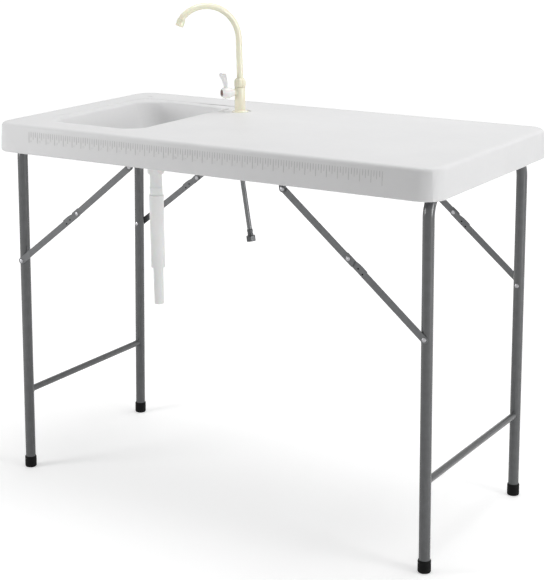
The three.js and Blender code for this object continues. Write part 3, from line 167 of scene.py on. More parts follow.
@dataclass
class Surface:
    """Mesh under construction: patches of grid points that become one object."""

    name: str
    points: Array = field(default_factory=lambda: np.zeros((0, 3)))
    faces: list[list[int]] = field(default_factory=list)

    def add(self, points: Array, faces: Sequence[Sequence[int]]) -> "Surface":
        """Adds loose points and the faces between them.

        Args:
            points: Points of shape (n, 3).
            faces: Numbers of each face's points, counted from the first of these points.

        Returns:
            The surface itself, so that calls can be chained.
        """
        start = len(self.points)
        self.points = np.vstack([self.points, points])
        self.faces += [[start + number for number in face] for face in faces]
        return self

    def patch(self, grid: Array, close_rows: bool = False, capped: bool = False) -> "Surface":
        """Adds a grid of points of shape (rows, columns, 3) whose rows are closed rings.

        Args:
            grid: The points.
            close_rows: Join the last row with the first.
            capped: Close the first and the last row with a flat face each.

        Returns:
            The surface itself, so that calls can be chained.
        """
        rows, columns = grid.shape[:2]
        faces = grid_faces(rows, columns, close_rows).tolist()
        if capped:
            faces += [list(range(columns)), list(range((rows - 1) * columns, rows * columns))]
        return self.add(grid.reshape(-1, 3), faces)

    def moved(self, place: Matrix) -> "Surface":
        """Carries every point by a 4x4 matrix."""
        matrix = np.array(place)
        self.points = self.points @ matrix[:3, :3].T + matrix[:3, 3]
        return self

    def build(self, sharp: float = SHARP_ANGLE) -> bpy.types.Object:
        """Makes the object: doubles merged, faces outwards, smooth but for edges sharper than an angle.

        Args:
            sharp: Angle in radians above which an edge stays sharp.

        Returns:
            The new object, at the origin.
        """
        mesh = bpy.data.meshes.new(self.name)
        mesh.from_pydata(self.points.tolist(), [], self.faces)
        work = bmesh.new()
        work.from_mesh(mesh)
        bmesh.ops.remove_doubles(work, verts=work.verts, dist=WELD)
        bmesh.ops.recalc_face_normals(work, faces=work.faces)
        work.to_mesh(mesh)
        work.free()
        mesh.shade_smooth()
        mesh.set_sharp_from_angle(angle=sharp)
        return linked(self.name, mesh)


def softened(profile: Profile, radius: float) -> Array:
    """Rounds the corners of a closed outline.

    Each corner p gives way to the curve (1-t)^2 a + 2t(1-t) p + t^2 b, where a and b lie on the two
    edges at the radius from p, or at four tenths of the edge where that is less.

    Args:
        profile: Corner points of the closed outline.
        radius: Distance from a corner at which the rounding starts.

    Returns:
        Points of the rounded outline, shape (corners * (ROUNDING_STEPS + 1), 2).
    """
    corner = np.array(profile, float)
    ends = []
    for step in (1, -1):
        edge = np.roll(corner, step, 0) - corner
        length = np.linalg.norm(edge, axis=1, keepdims=True)
        ends.append((corner + edge / length * np.minimum(radius, ROUNDED_SHARE * length))[:, None])
    t = np.linspace(0, 1, ROUNDING_STEPS + 1)[None, :, None]
    curve = (1 - t) ** 2 * ends[0] + 2 * t * (1 - t) * corner[:, None] + t**2 * ends[1]
    return curve.reshape(-1, 2)


def lathe(radius: Array, height: Array, sides: int) -> Array:
    """Rings round Z: x = r cos a, y = r sin a, z = height.

    Args:
        radius: Radius of each ring, or of each ring at each angle.
        height: Height of each ring.
        sides: Steps round the axis.

    Returns:
        Grid of shape (rings, sides, 3).
    """
    angle, one = around(sides), np.ones(sides)
    radius = np.reshape(radius, (len(height), -1)) * one
    return np.stack([radius * np.cos(angle), radius * np.sin(angle), np.outer(height, one)], -1)


def ring_solid(name: str, radius: Array, height: Array, sides: int, place: Matrix) -> Surface:
    """Solid of rings that run up its outside and come back through its bore, the last joined to the first."""
    return Surface(name).patch(lathe(radius, height, sides), close_rows=True).moved(place)


def turned(name: str, profile: Profile, sides: int, edge: float, place: Matrix) -> Surface:
    """Solid turned from a profile that starts and ends on the axis, its corners rounded.

    Args:
        name: Name of the piece.
        profile: (radius, height) pairs; the first and the last lie on the axis.
        sides: Steps round the axis.
        edge: Rounding of the corners.
        place: Matrix that carries the piece to its place.

    Returns:
        The surface.
    """
    mirrored = [(-r, z) for r, z in reversed(profile[1:-1])]
    half = softened([*profile, *mirrored], edge)[: len(profile) * (ROUNDING_STEPS + 1)]
    half = np.vstack([[0, profile[0][1]], half[half[:, 0] > WELD], [0, profile[-1][1]]])
    return Surface(name).patch(lathe(*half.T, sides)).moved(place)


def shell(name: str, profile: Profile, sides: int, edge: float, place: Matrix) -> Surface:
    """Ring turned from a closed profile that stays clear of the axis, its corners rounded."""
    return ring_solid(name, *softened(profile, edge).T, sides, place)


def thread(radius: float, depth: float, start: float, pitch: float) -> list[tuple[float, float]]:
    """Profile points that lie in turn on the radius and the depth below it, half a thread apart."""
    return [(radius - (depth if i % 2 else 0.0), start + i * pitch) for i in range(THREAD_POINTS)]


def tube_grid(path: Array, across: Array, radius: Array | float, sides: int) -> Array:
    """Points of a round tube along a path that lies in one plane.

    At each path point the circle r (cos a n + sin a w) stands square to the tangent t, with w the unit
    vector across the path's plane and n = w x t.

    Args:
        path: Points of the centre line, shape (n, 3).
        across: Unit vector square to the plane of the path.
        radius: Radius, the same everywhere or one for each point.
        sides: Steps round the tube.

    Returns:
        Grid of shape (n, sides, 3).
    """
    tangent = np.gradient(path, axis=0)
    tangent /= np.linalg.norm(tangent, axis=1, keepdims=True)
    normal = np.cross(across, tangent)
    angle = around(sides)
    ring = np.cos(angle)[None, :, None] * normal[:, None] + np.sin(angle)[None, :, None] * across
    return path[:, None] + np.reshape(radius, (-1, 1, 1)) * ring


def cad_copy(
    node: str,
    name: str,
    edge: float = 0.0,
    sharp: float = SHARP_ANGLE,
    cuts: Sequence[Sequence[float]] = (),
) -> bpy.types.Object:
    """Copy of a CAD node with its loose triangles merged, its flats joined and its edges rounded.

    Args:
        node: Name of the CAD node.
        name: Name of the new piece.
        edge: Width of the rounding on sharp edges, or zero for none.
        sharp: Angle in radians above which an edge counts as sharp.
        cuts: Places of planes across X, and then across Y, that cut the faces. Without them the
            triangles of each flat are joined.

    Returns:
        The new object, at the origin.
    """
    mesh = FRAME["nodes"][node].data.copy()
    mesh.name = name
    mesh.materials.clear()
    work = bmesh.new()
    work.from_mesh(mesh)
    bmesh.ops.remove_doubles(work, verts=work.verts, dist=10 * WELD)
    for axis, places in enumerate(cuts):
        normal = [1.0 if i == axis else 0.0 for i in range(3)]
        for place in places:
            whole = work.verts[:] + work.edges[:] + work.faces[:]
            point = [place * n for n in normal]
            bmesh.ops.bisect_plane(work, geom=whole, plane_co=point, plane_no=normal, dist=10 * WELD)
    if not cuts:
        bmesh.ops.dissolve_limit(work, angle_limit=FLAT_ANGLE, verts=work.verts, edges=work.edges)
    work.to_mesh(mesh)
    work.free()
    mesh.shade_smooth()
    mesh.set_sharp_from_angle(angle=sharp)
    piece = linked(name, mesh)
    if edge > 0:
        bevel = piece.modifiers.new("edges", "BEVEL")
        bevel.width, bevel.segments = edge, 2
        bevel.limit_method, bevel.angle_limit = "ANGLE", sharp
    piece.modifiers.new("flat faces first", "WEIGHTED_NORMAL").keep_sharp = True
    return piece


# Shader node groups that the finishes share.


@dataclass
class Graph:
    """Node tree under construction."""

    tree: bpy.types.NodeTree

    def feed(self, node: bpy.types.Node, feeds: Feeds) -> None:
        """Gives inputs of a node their values, or links them where the feed is a socket.

        Args:
            node: The node.
            feeds: Value or socket for each input, by its name or number.
        """
        for label, source in feeds.items():
            if isinstance(source, bpy.types.NodeSocket):
                self.tree.links.new(source, node.inputs[label])
            else:
                node.inputs[label].default_value = source

    def add(self, kind: str, feeds: Feeds, output: int | str = 0, **settings: object) -> bpy.types.NodeSocket:
        """Makes a shader node.

        Args:
            kind: Its type, without the leading ShaderNode.
            feeds: Value or socket for each input, by its name or number.
            output: Name or number of the output that is wanted.
            settings: Properties of the node, set before its inputs.

        Returns:
            The output's socket.
        """
        node = self.tree.nodes.new(f"ShaderNode{kind}")
        for setting, value in settings.items():
            setattr(node, setting, value)
        self.feed(node, feeds)
        return node.outputs[output]


def new_group(
    name: str, inputs: dict[str, str], outputs: dict[str, str]
) -> tuple[Graph, bpy.types.NodeOutputs, bpy.types.Node]:
    """Empty shader node group.

    Args:
        name: Name of the group.
        inputs: Kind of each input, by its name.
        outputs: Kind of each output, by its name.

    Returns:
        The group's graph, the sockets of its inputs and the node of its outputs.
    """
    tree = bpy.data.node_groups.new(name, "ShaderNodeTree")
    for way, sockets in (("INPUT", inputs), ("OUTPUT", outputs)):
        for label, kind in sockets.items():
            tree.interface.new_socket(label, in_out=way, socket_type=f"NodeSocket{kind}")
    return Graph(tree), tree.nodes.new("NodeGroupInput").outputs, tree.nodes.new("NodeGroupOutput")


@cache
def mottle() -> bpy.types.ShaderNodeTree:
    """Colour that wanders between two tones in soft clouds, with finer specks on top."""
    inputs = {"Place": "Vector", "Colour": "Color", "Shade": "Color", "Scale": "Float", "Amount": "Float"}
    graph, given, end = new_group("mottle", inputs, {"Colour": "Color"})
    clouds = graph.add("TexNoise", {"Vector": given["Place"], "Scale": given["Scale"], "Detail": 3})
    speck_ratio, speck_weight = 14, 0.35
    clear, full = 0.45, 0.9
    finer = graph.add("Math", {0: given["Scale"], 1: speck_ratio}, operation="MULTIPLY")
    specks = graph.add("TexNoise", {"Vector": given["Place"], "Scale": finer, "Detail": 2})
    both = graph.add("Math", {0: specks, 1: speck_weight, 2: clouds}, operation="MULTIPLY_ADD")
    mask = graph.add("MapRange", {"Value": both, "From Min": clear, "From Max": full})
    share = graph.add("Math", {0: mask, 1: given["Amount"]}, operation="MULTIPLY")
    tones = {"Factor": share, "A": given["Colour"], "B": given["Shade"]}
    graph.feed(end, {"Colour": graph.add("Mix", tones, "Result", data_type="RGBA")})
    return graph.tree


@cache
def grain() -> bpy.types.ShaderNodeTree:
    """Normal of a fine grained skin: rounded pebbles over a slower waviness."""
    inputs = {"Place": "Vector", "Scale": "Float", "Depth": "Float", "Waviness": "Float"}
    graph, given, end = new_group("grain", inputs, {"Normal": "Vector"})
    wave_scale = 22
    pebbles = graph.add("TexNoise", {"Vector": given["Place"], "Scale": given["Scale"], "Detail": 1.5})
    waves = graph.add("TexNoise", {"Vector": given["Place"], "Scale": wave_scale, "Detail": 1})
    height = graph.add("Math", {0: waves, 1: given["Waviness"], 2: pebbles}, operation="MULTIPLY_ADD")
    graph.feed(end, {"Normal": graph.add("Bump", {"Height": height, "Distance": given["Depth"]})})
    return graph.tree


@cache
def sheen() -> bpy.types.ShaderNodeTree:
    """Roughness that drifts between two values in wide patches."""
    inputs = {"Place": "Vector", "Low": "Float", "High": "Float"}
    graph, given, end = new_group("sheen", inputs, {"Roughness": "Float"})
    patch_scale = 5
    patches = graph.add("TexNoise", {"Vector": given["Place"], "Scale": patch_scale})
    limits = {"Value": patches, "To Min": given["Low"], "To Max": given["High"]}
    graph.feed(end, {"Roughness": graph.add("MapRange", limits)})
    return graph.tree


@dataclass(frozen=True)
class Finish:
    """Material of one kind of surface. Colours are as they look on screen, from 0 to 1."""

    name: str
    colour: tuple[float, float, float]
    shade: tuple[float, float, float]
    rough_low: float = 0.4
    rough_high: float = 0.6
    metallic: float = 0.0
    cloud_scale: float = 18.0
    cloud_amount: float = 0.6
    grain_scale: float = 900.0
    grain_depth: float = 0.00006
    waviness: float = 0.4
    coat: float = 0.0
    soft: float = 0.0
    soft_reach: float = 0.004
    gloss: float = 0.5

    @staticmethod
    def linear(colour: Sequence[float]) -> tuple[float, float, float, float]:
        """Screen colour as scene-linear values with full alpha."""
        value = np.array(colour, float)
        straight = np.where(value <= 0.04045, value / 12.92, ((value + 0.055) / 1.055) ** 2.4)
        return (*straight.tolist(), 1.0)

    @cache
    def material(self) -> bpy.types.Material:
        """The material, made once and then reused."""
        material = bpy.data.materials.new(self.name)
        material.use_nodes = True
        graph = Graph(material.node_tree)
        place = graph.add("TexCoord", {}, "Object")
        tones = {"Colour": self.linear(self.colour), "Shade": self.linear(self.shade)}
        colour, normal, roughness = (
            graph.add("Group", {"Place": place, **values}, node_tree=effect())
            for effect, values in (
                (mottle, {**tones, "Scale": self.cloud_scale, "Amount": self.cloud_amount}),
                (grain, {"Scale": self.grain_scale, "Depth": self.grain_depth, "Waviness": self.waviness}),
                (sheen, {"Low": self.rough_low, "High": self.rough_high}),
            )
        )
        graph.feed(
            material.node_tree.nodes["Principled BSDF"],
            {
                "Base Color": colour, "Roughness": roughness, "Normal": normal, "Metallic": self.metallic,
                "Specular IOR Level": self.gloss, "Coat Weight": self.coat,
                "Subsurface Weight": self.soft, "Subsurface Scale": self.soft_reach,
            },
        )
        return material


MOULDED_WHITE = Finish(
    "moulded white plastic", (0.912, 0.912, 0.914), (0.885, 0.885, 0.888), 0.42, 0.58, grain_scale=1400,
    grain_depth=0.00005, waviness=1.6, cloud_scale=6,
)
# Ruler ribs a little darker than the top they are moulded in: painted shade for the ribs' own shading.
RULER_PAINTED_SHADE = Finish("raised ruler lines", (0.80, 0.80, 0.798), (0.75, 0.75, 0.748), 0.45, 0.6)
GREY_POWDER = Finish(
    "grey powder coat", (0.36, 0.365, 0.37), (0.31, 0.315, 0.32), 0.18, 0.28, metallic=0.12, cloud_scale=60,
    grain_scale=1700, grain_depth=0.00002, coat=0.1,
)
LINK_ENAMEL = Finish(
    "dark grey enamel", (0.43, 0.435, 0.44), (0.365, 0.37, 0.375), 0.3, 0.48, metallic=0.4, cloud_scale=70,
    grain_scale=1500, grain_depth=0.00003,
)
BRIGHT_ZINC = Finish(
    "bright zinc", (0.66, 0.66, 0.67), (0.54, 0.54, 0.55), 0.2, 0.34, metallic=1.0, cloud_scale=200,
    grain_scale=2600, grain_depth=0.00001,
)
BLACK_RUBBER = Finish(
    "black rubber", (0.035, 0.035, 0.037), (0.055, 0.055, 0.058), 0.5, 0.7, cloud_scale=90, grain_scale=1300,
    grain_depth=0.00009, gloss=0.12,
)
IVORY_GLOSS = Finish(
    "ivory gloss plastic", (0.985, 0.97, 0.875), (0.975, 0.955, 0.845), 0.14, 0.26, cloud_scale=35,
    grain_scale=500, grain_depth=0.00001, coat=0.35, soft=0.1,
)
FROSTED = Finish(
    "frosted lever plastic", (0.995, 0.995, 0.99), (0.98, 0.98, 0.975), 0.18, 0.32, cloud_scale=60,
    grain_scale=700, grain_depth=0.00002, coat=0.3, soft=0.15,
)
BROWN_CAP = Finish(
    "brown cap plastic", (0.42, 0.27, 0.17), (0.34, 0.21, 0.13), 0.4, 0.55, cloud_scale=150,
    grain_scale=900, grain_depth=0.00003,
)
MILKY = Finish(
    "milky drain plastic", (0.985, 0.985, 0.98), (0.955, 0.955, 0.95), 0.3, 0.45, cloud_scale=25,
    grain_scale=800, grain_depth=0.00003, soft=0.12,
)
HOSE_CORE = Finish("dark hose core", (0.10, 0.10, 0.105), (0.07, 0.07, 0.07), 0.6, 0.75, grain_scale=1800)
BRAID_WIRE = Finish(
    "braided steel wire", (0.50, 0.505, 0.51), (0.34, 0.345, 0.35), 0.26, 0.42, metallic=0.9,
    cloud_scale=400, grain_scale=4200, grain_depth=0.00004,
)
NICKEL = Finish(
    "nickel plate", (0.34, 0.345, 0.35), (0.24, 0.245, 0.25), 0.34, 0.46, metallic=0.7, cloud_scale=120,
    grain_scale=1200, grain_depth=0.000004,
)
# Near-black finish with almost no shine: painted shade for the hollows of the lock dimples.
PAINTED_PIT_SHADE = Finish(
    "shadowed dimple", (0.03, 0.03, 0.032), (0.06, 0.06, 0.062), 0.7, 0.9, cloud_scale=300, gloss=0.02
)


def dress(
    piece: bpy.types.Object,
    finish: Finish,
    body: str,
    replaces: Sequence[str] = (),
) -> bpy.types.Object:
    """Gives a piece its material and its body, and reports it.

    Args:
        piece: The object.
        finish: Its finish.
        body: CAD body that it moves with.
        replaces: CAD nodes that it stands for.

    Returns:
        The piece.
    """
    piece.data.materials.clear()
    piece.data.materials.append(finish.material())
    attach(piece, body)
    if replaces:
        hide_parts(*replaces)
    log.info("%s rides on %s, %d vertices", piece.name, body, len(piece.data.vertices))
    return piece


@dataclass(frozen=True)
class Softbox:
    """Round soft lamp that looks at one point."""

    name: str
    place: tuple[float, float, float]
    aim: tuple[float, float, float]
    size: float
    power: float


@dataclass
class Studio:
    """Camera, lamps, floor and backdrop."""

    eye: tuple[float, float, float] = (1.783473, -2.912659, 1.439554)
    yaw: float = 0.572002
    pitch: float = 0.258340
    roll: float = -0.0045
    focal_pixels: float = 1490.39
    centre_pixels: tuple[float, float] = (235.0, 270.0)
    image_pixels: tuple[float, float] = (550.0, 580.0)
    sensor: float = 36.0
    seen_range: tuple[float, float] = (0.1, 100)
    floor_size: float = 40.0
    floor_tone: float = 0.88
    floor_roughness: float = 0.7
    ambient: float = 0.25
    near_glow: float = 0.43
    far_glow: float = 0.78
    glow_reach: tuple[float, float] = (0.9, 3.2)
    softboxes: tuple[Softbox, ...] = (
        Softbox("overhead", (0.4, 0.5, 3.6), (0, 0, 0.6), 2.4, 57.5),
        Softbox("right side", (4.2, -0.2, 1.1), (0, 0, 0.6), 1.6, 62.5),
        Softbox("front left", (-1.9, -1.9, 1.2), (-0.6, -0.3, 0.8), 0.9, 21.0),
    )

    def camera(self) -> None:
        """Camera at the photograph's place, with the shift that its framing needs."""
        data = bpy.data.cameras.new("camera")
        long_side = max(self.image_pixels)
        data.sensor_width = self.sensor
        data.lens = self.focal_pixels * self.sensor / long_side
        data.shift_x = (self.image_pixels[0] / 2 - self.centre_pixels[0]) / long_side
        data.shift_y = (self.centre_pixels[1] - self.image_pixels[1] / 2) / long_side
        data.clip_start, data.clip_end = self.seen_range
        camera = linked("camera", data)
        turn = Matrix.Rotation(self.yaw, 4, "Z") @ Matrix.Rotation(QUARTER_TURN - self.pitch, 4, "X")
        turn = turn @ Matrix.Rotation(self.roll, 4, "Z")
        camera.matrix_world = Matrix.Translation(self.eye) @ turn
        bpy.context.scene.camera = camera

    def lamps(self) -> None:
        """The soft lamps and an even sky, which looks white to the camera and in reflections."""
        for box in self.softboxes:
            data = bpy.data.lights.new(box.name, "AREA")
            data.shape, data.size, data.energy = "DISK", box.size, box.power
            lamp = linked(box.name, data)
            lamp.location = box.place
            lamp.rotation_euler = (Vector(box.aim) - Vector(box.place)).to_track_quat("-Z", "Y").to_euler()
        world = bpy.data.worlds.new("sky")
        world.use_nodes = True
        bpy.context.scene.world = world
        graph = Graph(world.node_tree)
        seen = self.seen_rays(graph)
        strength = graph.add("MapRange", {"Value": seen, "To Min": self.ambient, "To Max": 1})
        graph.feed(world.node_tree.nodes["Background"], {"Color": (1, 1, 1, 1), "Strength": strength})

    @staticmethod
    def seen_rays(graph: Graph) -> bpy.types.NodeSocket:
        """Socket that is 1 for camera, glossy and transmission rays and 0 for the rest."""
        seen = graph.add("LightPath", {}, "Is Camera Ray")
        rays = seen.node.outputs
        for kind in ("Is Glossy Ray", "Is Transmission Ray"):
            seen = graph.add("Math", {0: seen, 1: rays[kind]}, operation="MAXIMUM")
        return seen

    def floor(self) -> None:
        """Pale floor that shows white, glows more away from the middle and keeps the object's shadow."""
        half = self.floor_size / 2
        mesh = bpy.data.meshes.new("floor")
        corners = [(-half, -half, 0), (half, -half, 0), (half, half, 0), (-half, half, 0)]
        mesh.from_pydata(corners, [], [(0, 1, 2, 3)])
        material = bpy.data.materials.new("pale floor")
        material.use_nodes = True
        graph = Graph(material.node_tree)
        place = graph.add("TexCoord", {}, "Object")
        distance = graph.add("VectorMath", {0: place}, "Value", operation="LENGTH")
        near, far = self.glow_reach
        reach = {"Value": distance, "From Min": near, "From Max": far}
        glow = graph.add("MapRange", {**reach, "To Min": self.near_glow, "To Max": self.far_glow})
        strength = graph.add("Math", {0: glow, 1: self.seen_rays(graph)}, operation="MULTIPLY")
        shader = material.node_tree.nodes["Principled BSDF"]
        graph.feed(shader, {"Base Color": (*[self.floor_tone] * 3, 1), "Roughness": self.floor_roughness})
        graph.feed(shader, {"Emission Color": (1, 1, 1, 1), "Emission Strength": strength})
        mesh.materials.append(material)
        linked("floor", mesh)


@dataclass
class SupplyHose:
    """Braided hose that hangs from the tap's shank, with the ferrule and the nut on its end."""

    exit: tuple[float, float, float] = (-0.163, 0.137, 0.8167)
    core_radius: float = 0.0055
    wire_radius: float = 0.00575
    wire_lift: float = 0.00022
    wire_width: float = 0.00105
    wire_thickness: float = 0.0004
    wire_step: float = 0.0011
    steps_per_span: int = 6
    nut_corner: float = 0.0124
    nut_bore: float = 0.0064
    nut_foot: float = -0.0305
    nut_top: float = -0.0166
    strands: int = 10
    lay: float = 0.034
    sides: int = 40
    route_mm: tuple[tuple[float, float], ...] = (
        (0, 0), (0, -14), (0.2, -27), (0.6, -40), (1.4, -55), (2.6, -70), (4.3, -85), (6.2, -99),
        (8.4, -115), (11, -130), (13.9, -147), (17, -165), (19.9, -182), (22.8, -199), (25, -212), (27, -224),
    )

    def line(self) -> Array:
        """Smooth centre line through the route's points.

        Each span is the centripetal Catmull-Rom curve of its four nearest points, with the end points
        mirrored outwards.

        Returns:
            Points of shape (n, 3) in the CAD frame's axes.
        """
        knots = np.insert(np.array(self.route_mm) * MM, 1, 0.0, axis=1)
        knots = np.vstack([2 * knots[0] - knots[1], knots, 2 * knots[-1] - knots[-2]])
        p0, p1, p2, p3 = knots[:-3, None], knots[1:-2, None], knots[2:-1, None], knots[3:, None]
        t1, t2, t3 = np.cumsum([np.sqrt(np.linalg.norm(b - a, axis=-1, keepdims=True))
                                for a, b in ((p0, p1), (p1, p2), (p2, p3))], axis=0)
        t = t1 + (t2 - t1) * np.linspace(0, 1, self.steps_per_span, endpoint=False)[None, :, None]
        a1 = p0 + (p1 - p0) * t / t1
        a2 = p1 + (p2 - p1) * (t - t1) / (t2 - t1)
        a3 = p2 + (p3 - p2) * (t - t2) / (t3 - t2)
        b1 = a1 + (a2 - a1) * t / t2
        b2 = a2 + (a3 - a2) * (t - t1) / (t3 - t1)
        curve = (b1 + (b2 - b1) * (t - t1) / (t2 - t1)).reshape(-1, 3)
        return np.vstack([curve, knots[-2]]) + np.array(self.exit)

    def braid(self, line: Array) -> Surface:
        """Woven wires: two sets of ribbons that wind against each other and pass over and under.

        A ribbon's centre lies at angle a0 +- 2 pi s / lay round the hose at length s, and its radius
        swings by the lift times cos(2 pi n s / lay) for n strands in a set.

        Args:
            line: Centre line of the hose.

        Returns:
            The surface of all ribbons.
        """
        length = np.append(0, np.cumsum(np.linalg.norm(np.diff(line, axis=0), axis=1)))
        s = np.linspace(0, length[-1], int(length[-1] / self.wire_step))
        centre = np.stack([np.interp(s, length, axis) for axis in line.T], -1)
        tangent = np.gradient(centre, axis=0)
        tangent /= np.linalg.norm(tangent, axis=1, keepdims=True)
        normal = np.cross(ALONG_Y, tangent)
        surface = Surface("hose_braid")
        width = np.linspace(-1, 1, 4)
        crown = 0.6 * (1 - 0.5 * width**2)
        winding = FULL_TURN * s / self.lay
        for hand in (1, -1):
            over = hand * np.cos(self.strands * winding)
            radius = (self.wire_radius + self.wire_lift * (over[:, None] + crown))[..., None]
            for start in around(self.strands):
                spread = (start + hand * winding)[:, None] + width * self.wire_width / self.wire_radius
                ring = np.cos(spread)[..., None] * normal[:, None] + np.sin(spread)[..., None] * ALONG_Y
                upper = centre[:, None] + radius * ring
                lower = centre[:, None] + (radius - self.wire_thickness) * ring
                surface.patch(np.concatenate([upper, lower[:, ::-1]], 1), capped=True)
        return surface

    def build(self) -> None:
        line = self.line()
        grid = tube_grid(line, ALONG_Y, self.core_radius, sides=self.sides)
        core = Surface("supply_hose_core").patch(grid, capped=True).build()
        dress(core, HOSE_CORE, "top", ["supply_hose"])
        braid = dress(self.braid(line).build(sharp=math.radians(60)), BRAID_WIRE, "top")
        fittings = self.fittings(line)

    def fittings(self, line: Array) -> list[bpy.types.Object]:
        """Crimped ferrule and hexagon union nut on the hose's lower end.

        Args:
            line: Centre line of the hose.

        Returns:
            The ferrule and the nut.
        """
        place = at_end(line)
        crimp = [(7.2 - 0.8 * bump(z, -9.1, 1.7), z) for z in np.linspace(-15.6, -1.2, 13)]
        profile = [(0, -21.6), (5.6, -21.6), (6, -16.4), (7.0, -16.2), *crimp, (6.9, -0.5), (0, -0.4)]
        profile = np.array(profile) * MM
        ferrule = turned("hose_crimped_ferrule", profile, sides=48, edge=0.0003, place=place).build()
        dress(ferrule, NICKEL, "top", ["hose_ferrule"])
        nut = self.union_nut(place).build()
        dress(nut, NICKEL, "top", ["hose_nut"])
        return [ferrule, nut]

    def union_nut(self, place: Matrix) -> Surface:
        """Hexagon nut with corners turned off at both faces.

        The outline at angle a is r(a) = f / cos(a - nearest face's middle), with f the distance of a flat,
        and each ring of it is cut back to the chamfer cone's radius there.

        Args:
            place: Matrix from the hose's end, Z back along the hose, to the CAD frame's axes.

        Returns:
            The surface.
        """
        corner, bore, foot, top = self.nut_corner, self.nut_bore, self.nut_foot, self.nut_top
        angle, sixth = around(96), FULL_TURN / 6
        outline = corner * math.cos(sixth / 2) / np.cos((angle + sixth / 2) % sixth - sixth / 2)
        cone = np.array([0.86, 0.9, 0.95, 1.0, 1.0, 0.95, 0.9, 0.86]) * corner
        drop, lip = 0.14 * corner, 0.0006
        half = [foot, foot, foot + drop / 3, foot + drop]
        height = [*half, *[foot + top - z for z in reversed(half)], top - lip, foot + lip]
        rings = np.minimum(outline, cone[:, None])
        rings[0] = rings[-1] = bore * 1.12
        rings = np.vstack([rings, np.full((2, angle.size), bore)])
        return ring_solid("hose_union_nut", rings, np.array(height), sides=angle.size, place=place)


